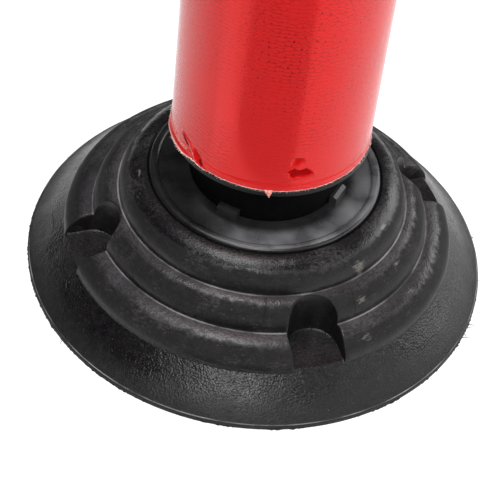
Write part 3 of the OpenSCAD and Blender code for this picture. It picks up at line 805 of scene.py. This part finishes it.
def tube(work, path, radii):
    """A closed six-sided thread along a path, with a radius at each point."""
    rows = []
    for i, p in enumerate(path):
        run = (Vector(path[min(i + 1, len(path) - 1)]) - Vector(path[max(i - 1, 0)])).normalized()
        side = run.cross(Vector((0, 0, 1))).normalized()
        up = side.cross(run)
        ring = []
        for k in range(6):
            t = math.radians(60 * k)
            ring.append(tuple(Vector(p) + radii[i] * (math.cos(t) * side + math.sin(t) * up)))
        rows.append(work.row(ring))
    work.strips(rows, closed=True)
    work.faces += [tuple(reversed(rows[0])), tuple(rows[-1])]


def rim_flash():
    """The thin fin of rubber left where the mould's halves met, torn off unevenly."""
    work, columns = Patchwork(), 1000
    angles = [360 * c / columns for c in range(columns)]
    tip = []
    for a in angles:
        s = polar(BASE_R, a, 0)
        reach = max(-0.25, 0.15 + 1.5 * rumple(s, 3.1, 4.4) + 0.9 * rumple(s, 17.0, 6.2))
        tip.append(polar(BASE_R + reach, a, 1.25))
    low, high = ([polar(BASE_R - 0.7, a, z) for a in angles] for z in (0.95, 1.6))
    rows = [work.row(low), work.row(tip), work.row(high)]
    work.strips([*rows, rows[0]], closed=True)
    on_base(mesh_object("rim_flash", work, rubber, 60.0))


# Hairs of flash on the rim as (azimuth, length, lean from the radius)
HAIRS = [(-43.6, 8.0, 24.0), (-42.0, 5.0, -30.0), (-40.2, 9.0, 38.0), (-38.6, 5.5, 10.0), (-8.4, 6.5, 30.0),
         (-7.2, 4.0, -25.0), (-161.0, 4.5, 20.0), (57.0, 6.0, -20.0), (131.0, 5.0, 30.0)]


def flash_hairs():
    """Hairs of flash that still hang on the rim."""
    work = Patchwork()
    for a, length, lean in HAIRS:
        start = Vector(polar(BASE_R - 0.6, a, 1.3))
        way = Vector(polar(1.0, a + lean, 0))
        bend = Vector(polar(1.0, a + 3 * lean, 0))
        path = [start + length * (t * way + 0.35 * t * t * bend) - Vector((0, 0, 0.9 * t * t)) for t in spread(0, 1, 7)]
        tube(work, path, [0.42 - 0.3 * t for t in spread(0, 1, 7)])
    on_base(mesh_object("flash_hairs", work, rubber, 60.0))


# Each line as (azimuth, radius) on the base
INSERT_LINES = [
    [(-73.2, 149.6), (-73.6, 156.0), (-74.0, 162.0), (-74.3, 168.0), (-74.5, 172.0)],
    [(-106.0, 149.6), (-106.2, 158.0), (-106.4, 167.0), (-106.6, 172.0)],
    [(-81.7, 214.1), (-78.4, 216.4), (-74.7, 219.4)], [(-89.8, 214.8), (-87.5, 213.9)],
    [(-79.1, 233.5), (-75.5, 234.4), (-71.0, 235.3)], [(-174.0, 203.5), (-172.9, 212.0), (-170.0, 218.0)],
    [(73.2, 149.6), (73.8, 158.0), (74.2, 167.0)], [(12.0, 214.0), (16.0, 215.5), (21.0, 215.0)],
    [(160.0, 216.0), (164.0, 214.0), (168.0, 213.5)],
]


def insert_lines():
    """Fine raised lines where the mould's inserts met."""
    work = Patchwork()
    for line in INSERT_LINES:
        path = []
        for (a0, r0), (a1, r1) in zip(line, line[1:]):
            for t in spread(0, 1, 8)[:-1]:
                r = r0 + (r1 - r0) * t
                path.append(Vector(polar(r, a0 + (a1 - a0) * t, ring_height(r) + 0.02)))
        tube(work, path, [0.45 * min(1.0, 0.3 + min(i, len(path) - 1 - i) / 4) for i in range(len(path))])
    on_base(mesh_object("insert_lines", work, rubber, 60.0))


moulded_base()
rim_flash()
flash_hairs()
insert_lines()

# ---- Vinyl cover ----

SEAM_AZIMUTH = 67.3         # the sewn seam runs up the column's back
HEM_H = 8.0                 # the cover runs over the disc's step below this
EDGE_Z = COVER_LOW_Z + 0.3  # middle height of the raw edge
SKIN_R = COVER_R - COVER_T / 2
MARKS_H = 62.0              # no mark lies above this
SEAM_HALF = 7.5             # half the width of the seam's sewn lap
STITCH_ASIDE = 2.4          # degrees from the seam to each row of its stitches
THREAD_LIFT = 0.55          # threads lie this far outside the middle skin
CURL_OUT, CURL_DROP = 2.9, 1.7          # how far the curled edge stands out and hangs down
CURL_CREASE_H = 3.6         # the curled edge is creased at this height
TIP_AZIMUTH, TIP_HANG = -109.5, 8.2     # the torn corner of backing, and how far it hangs
# Outlines of the marks, and the ridge's line, as (azimuth, height over the lower edge)
TEAR = [
    (-101.0, 25.0), (-98.1, 28.0), (-96.7, 29.1), (-95.3, 26.8), (-93.5, 26.2), (-91.6, 27.0), (-90.2, 28.1),
    (-88.3, 25.6), (-86.8, 22.9), (-85.3, 19.8), (-87.3, 19.2), (-88.8, 18.1), (-91.7, 17.7), (-94.2, 18.4),
    (-95.5, 18.1), (-97.2, 16.8), (-99.3, 19.5), (-98.8, 21.7), (-100.2, 24.0),
]
DENT = [
    (-98.2, 34.0), (-97.0, 40.5), (-95.4, 40.8), (-92.6, 40.0), (-91.9, 37.2), (-93.6, 36.9), (-95.4, 34.6),
    (-96.9, 32.8),
]
SLIT = [
    (-168.8, 18.6), (-166.6, 18.8), (-165.0, 18.0), (-163.2, 15.2), (-161.4, 12.6), (-163.4, 12.3), (-165.3, 13.2),
    (-167.3, 15.6),
]
FOLD = [
    (-157.8, 15.9), (-154.6, 13.2), (-151.1, 8.5), (-149.0, 1.8), (-150.6, 0.9), (-153.0, 1.4), (-154.8, 3.9),
    (-157.1, 7.5),
]
FOLD_END = [(-153.3, 5.7), (-151.4, 8.1), (-149.6, 4.0), (-149.9, 1.6), (-151.9, 2.2)]
RIDGE = [(-169.0, 19.9), (-165.0, 18.6), (-161.5, 16.2), (-157.8, 8.6), (-155.0, 3.4), (-152.2, 1.2), (-148.0, 0.6)]
FLARE_FROM, FLARE_TO = -202.0, -156.0   # azimuths between which the lower edge curls outwards


def line_distance(p, line):
    """Distance from a point to an open line of points."""
    x, y = p
    best = 1e9
    for (ax, ay), (bx, by) in zip(line, line[1:]):
        t = ((x - ax) * (bx - ax) + (y - ay) * (by - ay)) / ((bx - ax) ** 2 + (by - ay) ** 2)
        t = min(1.0, max(0.0, t))
        best = min(best, math.hypot(x - ax - t * (bx - ax), y - ay - t * (by - ay)))
    return best


def edge_distance(p, outline):
    """Distance from a point to a polygon's outline, negative inside it."""
    x, y = p
    ring = outline + outline[:1]
    inside = False
    for (ax, ay), (bx, by) in zip(ring, ring[1:]):
        if (ay > y) != (by > y) and x < ax + (y - ay) / (by - ay) * (bx - ax):
            inside = not inside
    return line_distance(p, ring) * (-1 if inside else 1)


def on_sheet(marks):
    """Outline points of (azimuth, height) as arc length and height on the cover."""
    return [(math.radians(a) * COVER_R, h) for a, h in marks]


TEAR_SHEET, DENT_SHEET, SLIT_SHEET, FOLD_SHEET, FOLD_END_SHEET, RIDGE_SHEET = map(
    on_sheet, (TEAR, DENT, SLIT, FOLD, FOLD_END, RIDGE),
)


def step(value, low, high):
    t = min(1.0, max(0.0, (value - low) / (high - low)))
    return t * t * (3 - 2 * t)


def cover_angles():
    """Column angles from the seam round to the seam, closer together near the marks and the seam."""
    fine = [(-293.0, -286.0), (-203.0, -70.0), (60.0, 68.0)]
    degrees, a = [], SEAM_AZIMUTH - 360.0
    while a < SEAM_AZIMUTH - 0.3:
        degrees.append(a)
        near = any(low <= a < high for low, high in fine)
        a += 0.5 if near else 1.5
    return degrees


def cover_heights():
    """Row heights over the cover's lower edge, close together at the raw edge, the hem and the marks."""
    low = [0.0, 0.5, 1.0, 1.7, 2.5, 3.4, 4.4, 5.4, 6.2, 6.8, 7.4, 8.0]
    low += [8.0 + 1.4 * i for i in range(1, 30)]
    return low + spread(low[-1] + 8.0, DOME_Z - COVER_LOW_Z, 26)


def flare(azimuth):
    """How far the lower edge has curled away from the disc, from 0 to 1."""
    return step(azimuth, FLARE_FROM, FLARE_FROM + 14) * (1 - step(azimuth, FLARE_TO - 12, FLARE_TO))


def cover_push(azimuth, h):
    """Outward shift of the cover's surface at a place, and its shares of tear and painted shade, of painted shade in
    the slit, and of raw edge.
    """
    s = math.radians(azimuth) * COVER_R
    push = 0.35 * rumple((s, h, 0), 60.0, 5.3) * step(h, 0, 20)
    from_seam = min(abs(azimuth - SEAM_AZIMUTH), abs(azimuth - SEAM_AZIMUTH + 360)) * math.radians(1) * COVER_R
    # The sewn lap stands out, with a groove where its two edges meet
    push += 0.7 * (1 - step(from_seam, SEAM_HALF - 1.5, SEAM_HALF)) - 0.8 * (1 - step(from_seam, 0.0, 1.3))
    if h > MARKS_H:
        return push, 0.0, 0.0, 0.0
    # The disc's step pushes the hem out, and the curled edge stands out further
    push += 0.55 * (1 - step(h, HEM_H - 1.2, HEM_H + 0.4))
    curl = flare(azimuth)
    push += curl * (CURL_OUT * (1 - step(h, 0.0, 7.0)) - 0.4 * (1 - step(abs(h - CURL_CREASE_H), 0.2, 1.4)))
    tear = edge_distance((s, h), TEAR_SHEET)
    dent = edge_distance((s, h), DENT_SHEET)
    slit = edge_distance((s, h), SLIT_SHEET)
    fold = edge_distance((s, h), FOLD_SHEET)
    fold_end = edge_distance((s, h), FOLD_END_SHEET)
    ridge = line_distance((s, h), RIDGE_SHEET)
    # The tear, dent, slit and fold sink in; the tear's lip and the ridge stand out
    push -= 1.1 * (1 - step(tear, -0.8, 0.4))
    push += 0.5 * (1 - step(abs(tear - 1.2), 0.0, 1.6))
    push -= 1.3 * (1 - step(dent, -3.0, 3.0))
    push -= 0.8 * (1 - step(slit, -0.6, 0.6))
    push -= 1.4 * (1 - step(fold, -1.6, 0.8))
    push += 1.3 * (1 - step(ridge, 0.0, 3.0))
    # Nothing pushes in past the disc's step, nor higher up past the foam
    push = max(push, -0.1 - 1.35 * step(h, 5.0, 7.0))
    # Film is stretched or torn at the tear, the dent and the hem's crease; the deep red along the fold and the curl's
    # crease is painted shade, and so is the near-black in the slit and at the fold's end; frayed knit comes and goes
    # along cut edges
    crumple = 0.5 + 0.5 * rumple((s, h, 0), 3.0, 8.8)
    torn_and_shade = max(
        1 - step(tear, -0.4, 0.6), 0.5 * (1 - step(dent, -1.0, 2.4)), 0.55 * (1 - step(fold, -0.8, 0.8)),
        1 - step(fold_end, -0.4, 0.8), 0.6 * curl * (1 - step(abs(h - CURL_CREASE_H), 0.2, 0.9)),
        0.22 * crumple * (1 - step(abs(h - HEM_H + 0.8), 0.2, 1.2)),
    )
    edge = 1 - step(h, 0.3 + 0.9 * curl, 1.1 + 0.6 * crumple + 1.2 * curl)
    raw = max(
        edge, 0.6 * crumple * (1 - step(abs(tear - 0.9), 0.2, 1.0)), 0.7 * (1 - step(ridge, 0.2, 1.3)),
        0.62 * curl * (1 - step(abs(h - 6.0), 1.4, 2.8)),
    ) * step(max(-fold, -slit), 0.6, -0.6)
    return push, torn_and_shade, max(1 - step(slit, 0.5, 1.3), 0.7 * (1 - step(fold_end, -0.6, 0.4))), raw


def edge_height(azimuth):
    """Height of the cover's raw lower edge, cut by hand and a little frayed."""
    s = math.radians(azimuth) * COVER_R
    return EDGE_Z + 0.55 * rumple((s, 0, 0), 2.6, 9.1) + 0.3 * rumple((s, 0, 0), 1.1, 3.3)


def cover_point(azimuth, h):
    """A point of the cover's middle skin, and its shares of tear and painted shade, of painted shade in the slit, and
    of raw edge.
    """
    push, torn_and_shade, slit, raw = cover_push(azimuth, h)
    sag = (edge_height(azimuth) - EDGE_Z) * (1 - step(h, 0.0, 1.2))
    z = EDGE_Z + h + sag - CURL_DROP * flare(azimuth) * (1 - step(h, 0.0, 6.0))
    return polar(SKIN_R + push, azimuth, z), torn_and_shade, slit, raw


def vinyl_cover():
    degrees, heights = cover_angles(), cover_heights()
    # Each column's point, then its shares of tear and painted shade, of the slit's painted shade, and of raw edge
    skin = [[cover_point(a, h) for a in degrees] for h in heights]
    for r, z in arc(0, DOME_Z, SKIN_R, DOME_H - COVER_T / 2, 0, 90, 15)[1:]:
        skin.append([(polar(max(r, 0.0), a, z), 0.0, 0.0, 0.0) for a in degrees])
    heights += [heights[-1] + 7.0 * (i + 1) for i in range(15)]
    place = [(math.radians(a - SEAM_AZIMUTH + 360) * COVER_R, h) for h in heights for a in degrees]
    work = Patchwork()
    work.strips([work.row([corner[0] for corner in row]) for row in skin], closed=True)
    mesh = raw_mesh("vinyl_cover", work.points, work.faces)
    for i, name in enumerate(("torn_and_shade", "slit", "raw"), start=1):
        layer = mesh.attributes.new(name, "FLOAT", "POINT")
        layer.data.foreach_set("value", [corner[i] for row in skin for corner in row])
    wrap = mesh.uv_layers.new(name="wrap")
    whole = 2 * math.pi * COVER_R
    for face in mesh.polygons:
        for loop in face.loop_indices:
            u, v = place[mesh.loops[loop].vertex_index]
            if u == 0 and max(place[mesh.loops[k].vertex_index][0] for k in face.loop_indices) > whole / 2:
                u = whole
            wrap.data[loop].uv = (u * MM, v * MM)
    made = finish_mesh("vinyl_cover", mesh, vinyl, 50.0)
    return thickened(made, COVER_T)


def thickened(made, thickness):
    """Gives a sheet its wall, half to each side, and closes its edges."""
    wall = made.modifiers.new("wall", "SOLIDIFY")
    wall.thickness = thickness * MM
    wall.offset = 0.0
    return flatten(made)


def flatten(made):
    """Turns an object with modifiers into a plain mesh object."""
    bpy.context.view_layer.update()
    graph = bpy.context.evaluated_depsgraph_get()
    mesh = bpy.data.meshes.new_from_object(made.evaluated_get(graph), preserve_all_data_layers=True, depsgraph=graph)
    made.modifiers.clear()
    made.data = mesh
    return made


cover = vinyl_cover()
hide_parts("cover_wall", "cover_top")
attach(cover, "bag")


def on_cover(made):
    """A piece that is sewn to the cover or torn from it."""
    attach(made, "bag")


def frayed_tip():
    """A torn corner of the cover's backing that hangs over the disc's rim."""
    work, rows = Patchwork(), []
    for t in spread(0, 1, 10):
        half = 2.1 * (1 - t) ** 1.1 + 0.15
        reach = 99.8 + 2.0 * step(t, 0.0, 0.22) - 0.3 * t
        rows.append(work.row([
            polar(
                reach + 0.35 * rumple((4 * j, 9 * t, 0), 3.0, 2.2), TIP_AZIMUTH + 0.7 * t + half * (j / 4 - 1),
                COVER_LOW_Z + 2.0 - TIP_HANG * t + 0.4 * rumple((3 * j, 7 * t, 5), 2.5, 1.2),
            )
            for j in range(9)
        ]))
    work.strips(rows)
    on_cover(thickened(mesh_object("frayed_tip", work, torn_backing, 60.0), 0.6))


def growth_tree(name, sockets):
    """A geometry node tree that grows things along a path; sockets maps its inputs to (type, default)."""
    tree = bpy.data.node_groups.new(name, "GeometryNodeTree")
    tree.interface.new_socket("Path", in_out="INPUT", socket_type="NodeSocketGeometry")
    for label, (kind, value) in sockets.items():
        socket = tree.interface.new_socket(label, in_out="INPUT", socket_type=kind)
        if value is not None:
            socket.default_value = value
    tree.interface.new_socket("Grown", in_out="OUTPUT", socket_type="NodeSocketGeometry")
    return tree, add(tree, "NodeGroupInput").outputs


def finish_tree(tree, geometry, material):
    """Ends a tree in real, smooth geometry of one material."""
    real = add(tree, "GeometryNodeRealizeInstances", {0: geometry})
    smooth = add(tree, "GeometryNodeSetShadeSmooth", {"Geometry": real})
    painted = add(tree, "GeometryNodeSetMaterial", {"Geometry": smooth, "Material": material})
    add(tree, "NodeGroupOutput", {0: painted})
    return tree


def stitch_tree():
    """Evenly pitched lockstitches: short round threads that lie along the path."""
    tree, given = growth_tree("stitch_run", {
        "Pitch": ("NodeSocketFloat", 4.0 * MM), "Length": ("NodeSocketFloat", 3.0 * MM),
        "Thread Radius": ("NodeSocketFloat", 0.4 * MM), "Material": ("NodeSocketMaterial", None),
    })
    curve = add(tree, "GeometryNodeMeshToCurve", {0: given["Path"]})
    steps = add(tree, "GeometryNodeResampleCurve", {"Curve": curve, "Length": given["Pitch"]}, mode="LENGTH")
    bead = add(tree, "GeometryNodeMeshUVSphere", {"Segments": 8, "Rings": 6, "Radius": 1.0})
    along = add(tree, "FunctionNodeAlignRotationToVector", {"Vector": add(tree, "GeometryNodeInputTangent")}, axis="Z")
    half = add(tree, "Math", {0: given["Length"], 1: 0.5}, operation="MULTIPLY")
    size = add(tree, "CombineXYZ", {"X": given["Thread Radius"], "Y": given["Thread Radius"], "Z": half})
    sewn = add(tree, "GeometryNodeInstanceOnPoints", {
        "Points": steps, "Instance": bead, "Rotation": along, "Scale": size,
    })
    return finish_tree(tree, sewn, given["Material"])


def fringe_tree():
    """Frayed knit: short threads and small tufts that stand out from a raw edge round the axis."""
    tree, given = growth_tree("raw_edge_fringe", {
        "Spacing": ("NodeSocketFloat", 0.9 * MM), "Thread Length": ("NodeSocketFloat", 1.8 * MM),
        "Thread Radius": ("NodeSocketFloat", 0.2 * MM), "Tuft Radius": ("NodeSocketFloat", 0.5 * MM),
        "Seed": ("NodeSocketInt", 7), "Material": ("NodeSocketMaterial", None),
    })
    curve = add(tree, "GeometryNodeMeshToCurve", {0: given["Path"]})
    steps = add(tree, "GeometryNodeResampleCurve", {"Curve": curve, "Length": given["Spacing"]}, mode="LENGTH")
    outward = add(
        tree, "VectorMath",
        {0: add(tree, "GeometryNodeInputPosition"), 1: (1.0, 1.0, 0.0), 2: (0.0, 0.0, -0.03)},
        operation="MULTIPLY_ADD",
    )
    facing = add(tree, "FunctionNodeAlignRotationToVector", {"Vector": outward}, axis="Z")
    shake = add(
        tree, "FunctionNodeRandomValue",
        {"Min": (-0.7, -0.7, -3.0), "Max": (0.7, 0.7, 3.0), "Seed": given["Seed"]}, data_type="FLOAT_VECTOR",
    )
    strewn = add(tree, "FunctionNodeRotateRotation", {"Rotation": facing, "Rotate By": shake}, rotation_space="LOCAL")
    size = add(tree, "FunctionNodeRandomValue", {2: 0.35, 3: 1.25, "Seed": given["Seed"]}, data_type="FLOAT")
    thread = add(tree, "GeometryNodeMeshCone", {
        "Vertices": 5, "Side Segments": 2, "Radius Top": 0.03 * MM,
        "Radius Bottom": given["Thread Radius"], "Depth": given["Thread Length"],
    })
    tuft = add(tree, "GeometryNodeMeshIcoSphere", {"Radius": given["Tuft Radius"], "Subdivisions": 1})
    which = add(tree, "FunctionNodeRandomValue", {"Probability": 0.62, "Seed": given["Seed"]}, data_type="BOOLEAN")
    others = add(tree, "FunctionNodeBooleanMath", {0: which}, operation="NOT")
    grown = [
        add(tree, "GeometryNodeInstanceOnPoints", {
            "Points": steps, "Selection": chosen, "Instance": kind, "Rotation": strewn, "Scale": size,
        })
        for chosen, kind in ((which, thread), (others, tuft))
    ]
    joined = add(tree, "GeometryNodeJoinGeometry")
    for geometry in grown:
        feed(joined, {0: geometry})
    return finish_tree(tree, joined, given["Material"])


def grow(name, tree, paths, values):
    """Grows a tree along paths of (points, closed) and returns a plain mesh object."""
    points, edges = [], []
    for path, closed in paths:
        first, count = len(points), len(path)
        points += path
        edges += [(first + i, first + (i + 1) % count) for i in range(count if closed else count - 1)]
    made = placed(name, raw_mesh(name, points, [], edges))
    growth = made.modifiers.new("growth", "NODES")
    growth.node_group = tree
    for item in tree.interface.items_tree:
        if item.in_out == "INPUT" and item.name in values:
            growth[item.identifier] = values[item.name]
    return flatten(made)


def skin_path(angles, heights):
    """Points on the cover's outer skin for pairs of azimuth and height."""
    path = []
    for a, h in zip(angles, heights):
        x, y, z = cover_point(a, h)[0]
        out = 1 + THREAD_LIFT / math.hypot(x, y)
        path.append((x * out, y * out, z))
    return path


def cover_details():
    frayed_tip()
    round_edge = spread(-180.0, 180.0, 720)[:-1]
    raw_edge = skin_path(round_edge, [0.25] * len(round_edge))
    fringe = fringe_tree()
    on_cover(grow("edge_fringe", fringe, [(raw_edge, True)], {"Material": knit_backing}))
    knotted = spread(-158.5, -152.5, 14)
    on_cover(grow(
        "edge_knots", fringe, [(skin_path(knotted, [0.5] * len(knotted)), False)],
        {"Material": knit_backing, "Tuft Radius": 0.95 * MM, "Thread Radius": 0.3 * MM, "Seed": 3},
    ))
    stitches = stitch_tree()
    rise = spread(3.0, DOME_Z - COVER_LOW_Z - 9.0, 160)
    runs = [(skin_path([SEAM_AZIMUTH + side * STITCH_ASIDE] * len(rise), rise), False) for side in (-1, 1)]
    crown_h = DOME_Z - COVER_LOW_Z - 6.0
    runs.append((skin_path(round_edge[::2], [crown_h] * 360), True))
    on_cover(grow("seam_stitches", stitches, runs, {"Material": sewing_thread}))
    cord = revolve(arc(COVER_R + 0.4, DOME_Z, 1.9, 1.9, 0, 360, 12)[:-1], 240)
    on_cover(mesh_object("crown_piping", cord, piping, 60.0))


cover_details()

# ---- Foam ----


def foam_piece(name, profile, node):
    made = mesh_object(name, revolve(profile, 128), foam, 40.0)
    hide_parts(node)
    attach(made, "bag")


sleeve_r = PAD_R - 0.3
foam_piece("foam_sleeve_pad", [
    (NUT_ROOM_R, DISC_TOP_Z + 0.4), (sleeve_r - 5, DISC_TOP_Z + 0.4), (sleeve_r - 3.2, DISC_TOP_Z + 2.4),
    (sleeve_r - 3.2, DISC_TOP_Z + 42), (sleeve_r, DISC_TOP_Z + 56), (sleeve_r, 600.0), (sleeve_r, 1000.0),
    (sleeve_r, FOAM_JOINT_Z - 2), (sleeve_r - 2, FOAM_JOINT_Z),
    (CORE_R + 0.3, FOAM_JOINT_Z), (CORE_R + 0.3, SCREW_Z + SCREW_ROOM), (SCREW_HEAD_R, SCREW_Z + SCREW_ROOM),
    (SCREW_HEAD_R, SCREW_Z - SCREW_ROOM), (CORE_R + 0.3, SCREW_Z - SCREW_ROOM),
    (CORE_R + 0.3, NUT_ROOM_Z), (NUT_ROOM_R, NUT_ROOM_Z),
], "foam_sleeve")
crown = [(0.0, FOAM_JOINT_Z + 0.4), (sleeve_r - 2, FOAM_JOINT_Z + 0.4), (sleeve_r, FOAM_JOINT_Z + 2.4)]
crown += arc(0, DOME_Z, sleeve_r, DOME_H - 1.6, 0, 90, 16)
foam_piece("foam_crown_pad", crown, "foam_crown")

# ---- Boot ----


def boot_half(name, upper):
    """One half of the boot, from its clamped flange to the pivot's height."""
    in_r = BOOT_R - BOOT_T
    profile = [(WELL_R, TOP_Z)]
    profile += arc(BOOT_R - BOOT_ROUND, TOP_Z + BOOT_ROUND, BOOT_ROUND, BOOT_ROUND, -90, 0, 6)
    profile += [(BOOT_R, z) for z in spread(TOP_Z + BOOT_ROUND, PIVOT_Z, 10)[1:]]
    profile += [(in_r, z) for z in spread(PIVOT_Z, TOP_Z + BOOT_FLANGE_T + 1, 10)]
    profile += [(in_r - 1, TOP_Z + BOOT_FLANGE_T), (WELL_R, TOP_Z + BOOT_FLANGE_T)]
    if upper:
        profile = [(r, 2 * PIVOT_Z - z) for r, z in profile]
    made = mesh_object(name, revolve(profile, 160), boot_rubber, 40.0)
    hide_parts("spring_boot")
    return made


def wire_height(u):
    """Height of the wire's middle over the spring's seat after u turns."""
    high = 2 * (PIVOT_Z - SPRING_SEAT_Z)
    pitch = (high - 2 * END_PITCH) / (SPRING_TURNS - 2)
    if u < 1:
        return END_PITCH * u
    if u > SPRING_TURNS - 1:
        return high - END_PITCH * (SPRING_TURNS - u)
    return END_PITCH + pitch * (u - 1)


def spring_half(name, first, last):
    """A run of the coil between two turns, its end ground level with its seat."""
    sides, per_turn = 16, 48
    low = SPRING_SEAT_Z + SPRING_FIT
    high = 2 * PIVOT_Z - low
    work, rows = Patchwork(), []
    count = round((last - first) * per_turn)
    for i in range(count + 1):
        u = first + (last - first) * i / count
        t = 2 * math.pi * u
        middle = Vector((SPRING_R * math.cos(t), SPRING_R * math.sin(t), SPRING_SEAT_Z + wire_height(u)))
        outward = Vector((math.cos(t), math.sin(t), 0))
        rise = (wire_height(u + 0.01) - wire_height(u - 0.01)) / 0.02
        run = Vector((-math.sin(t) * 2 * math.pi * SPRING_R, math.cos(t) * 2 * math.pi * SPRING_R, rise)).normalized()
        up = outward.cross(run)
        ring = []
        for k in range(sides):
            a = 2 * math.pi * k / sides
            p = middle + WIRE_R * (math.cos(a) * outward + math.sin(a) * up)
            ring.append((p.x, p.y, min(high, max(low, p.z))))
        rows.append(work.row(ring))
    work.strips(rows, closed=True)
    work.faces += [tuple(rows[0]), tuple(reversed(rows[-1]))]
    made = mesh_object(name, work, spring_steel, 40.0)
    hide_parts("coil_spring")
    return made


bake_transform(boot_half("boot_lower_half", False))
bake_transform(boot_half("boot_upper_half", True))
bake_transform(spring_half("spring_lower_turns", 0, 4.5))
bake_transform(spring_half("spring_upper_turns", 4.5, 9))

# ---- Finishes of the CAD nodes that stay ----

FINISHES = {
    collar_plastic: ["collar"],
    disc_plastic: ["bottom_disc", "core_cap"],
    pressed_steel: [
        "clamp_plate", "lower_spring_cup", "upper_spring_cup", "lower_spring_clips", "upper_spring_clips",
    ],
    zinc_plate: [
        "lower_clip_nuts", "upper_clip_nuts", "base_bolts", "base_washers", "base_nuts", "disc_bolts",
        "disc_washers", "disc_nuts", "core_screws",
    ],
    grey_pipe: ["core_tube"],
}

for finish, nodes in FINISHES.items():
    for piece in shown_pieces():
        if piece.get("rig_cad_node") in nodes:
            piece.data.materials.clear()
            piece.data.materials.append(finish)

# ---- Floor, world and lights ----


def emptied(owner):
    """The node tree of a material or world, with nothing in it."""
    owner.use_nodes = True
    owner.node_tree.nodes.clear()
    return owner.node_tree


def stage_sheet(name, material, height, corners):
    """A flat sheet of the studio, which is no part of the bag."""
    mesh = bpy.data.meshes.new(name)
    mesh.from_pydata([(x, y, height) for x, y in corners], [], [tuple(range(len(corners)))])
    mesh.materials.append(material)
    sheet = placed(name, mesh)
    return sheet


def studio_floor():
    """White sweep: keeps the shadow, and shows as white to the camera and in reflections."""
    material = bpy.data.materials.new("white_sweep")
    tree = emptied(material)
    path = add(tree, "LightPath").outputs
    seen = add(tree, "Math", {0: path["Is Camera Ray"], 1: path["Is Glossy Ray"]}, operation="MAXIMUM")
    shown = add(tree, "Math", {0: seen, 1: path["Is Transmission Ray"]}, operation="MAXIMUM")
    # Far off, where no shadow falls, it meets the backdrop without an edge
    reach = add(tree, "VectorMath", {0: object_coordinates(tree)}, operation="LENGTH")
    level = add(tree, "MapRange", {"Value": reach, "From Min": 0.9, "From Max": 3.0, "To Min": 0.74, "To Max": 1.0})
    strength = add(tree, "Math", {0: shown, 1: level}, operation="MULTIPLY")
    glow = add(tree, "Emission", {"Color": (1, 1, 1, 1), "Strength": strength})
    matt = add(tree, "BsdfDiffuse", {"Color": (0.4, 0.4, 0.4, 1)})
    both = add(tree, "AddShader", {0: matt, 1: glow})
    add(tree, "OutputMaterial", {"Surface": both})
    stage_sheet("floor", material, 0, [(-9, -9), (9, -9), (9, 9), (-9, 9)])


def studio_world():
    """White backdrop; in the gloss it is white at the horizon under a darker ceiling."""
    world = bpy.data.worlds.new("studio")
    bpy.context.scene.world = world
    tree = emptied(world)
    path = add(tree, "LightPath").outputs
    way = add(tree, "TexCoord").outputs["Generated"]
    height = add(tree, "SeparateXYZ", {0: way}).outputs["Z"]
    ceiling = add(tree, "MapRange", {
        "Value": height, "From Min": 0.0, "From Max": 0.06, "To Min": 0.28, "To Max": 0.03,
    })
    gloss = add(tree, "Mix", {0: path["Is Glossy Ray"], 2: 0.33, 3: ceiling})
    seen = add(tree, "Math", {0: path["Is Camera Ray"], 1: path["Is Transmission Ray"]}, operation="MAXIMUM")
    strength = add(tree, "Mix", {0: seen, 2: gloss, 3: 1.0})
    glow = add(tree, "Background", {"Color": (1, 1, 1, 1), "Strength": strength})
    add(tree, "OutputWorld", {"Surface": glow})


def soft_light(name, azimuth, elevation, distance, width, height, watts):
    """A soft box seen from the object at that azimuth and elevation, facing the base."""
    data = bpy.data.lights.new(name, "AREA")
    data.shape = "RECTANGLE"
    data.size, data.size_y, data.energy = width, height, watts
    lamp = placed(name, data)
    lamp.visible_camera = False
    way = aim_from(azimuth, elevation)
    aim = Vector((0, 0, 0.15))
    lamp.matrix_world = Matrix.Translation(aim + distance * way) @ way.to_track_quat("Z", "Y").to_matrix().to_4x4()


def studio_card(name, brightness, height, corners):
    """A card flat on the floor, just out of the frame, that only reflections see; it glows at a set brightness, dim for
    a flag and bright for a light strip.
    """
    material = bpy.data.materials.new(name)
    tree = emptied(material)
    glow = add(tree, "Emission", {"Color": (1, 1, 1, 1), "Strength": brightness})
    add(tree, "OutputMaterial", {"Surface": glow})
    card = stage_sheet(name, material, height, corners)
    card.visible_camera = card.visible_diffuse = card.visible_shadow = card.visible_transmission = False


studio_floor()
studio_world()
studio_card("front_flag", 0.12, 0.001, [(0.02, -0.30), (0.22, -1.4), (-3.0, -1.9), (-0.3, -0.215)])
studio_card(
    "left_flag", 0.12, 0.001,
    [(-0.62, -0.3), (-3.0, -1.8), (-4.0, 0.5), (-2.5, 3.0), (-0.45, 0.62), (-0.66, 0.2)],
)
studio_card(
    "left_strip", 1.8, 0.002,
    [(-0.29, -0.055), (-0.28, -0.185), (-0.54, -0.225), (-0.9, -0.32), (-0.9, -0.07)],
)
soft_light("top_light", -70.0, 81.5, 4.0, 1.8, 1.8, 98.0)
soft_light("front_light", -26.0, 41.0, 2.5, 1.2, 0.9, 36.0)
soft_light("front_right_light", 40.0, 31.0, 2.5, 2.2, 1.4, 12.0)
soft_light("right_light", 96.0, 22.0, 2.5, 2.2, 1.3, 42.0)
soft_light("low_light", 42.0, 6.0, 2.5, 0.8, 0.45, 6.5)
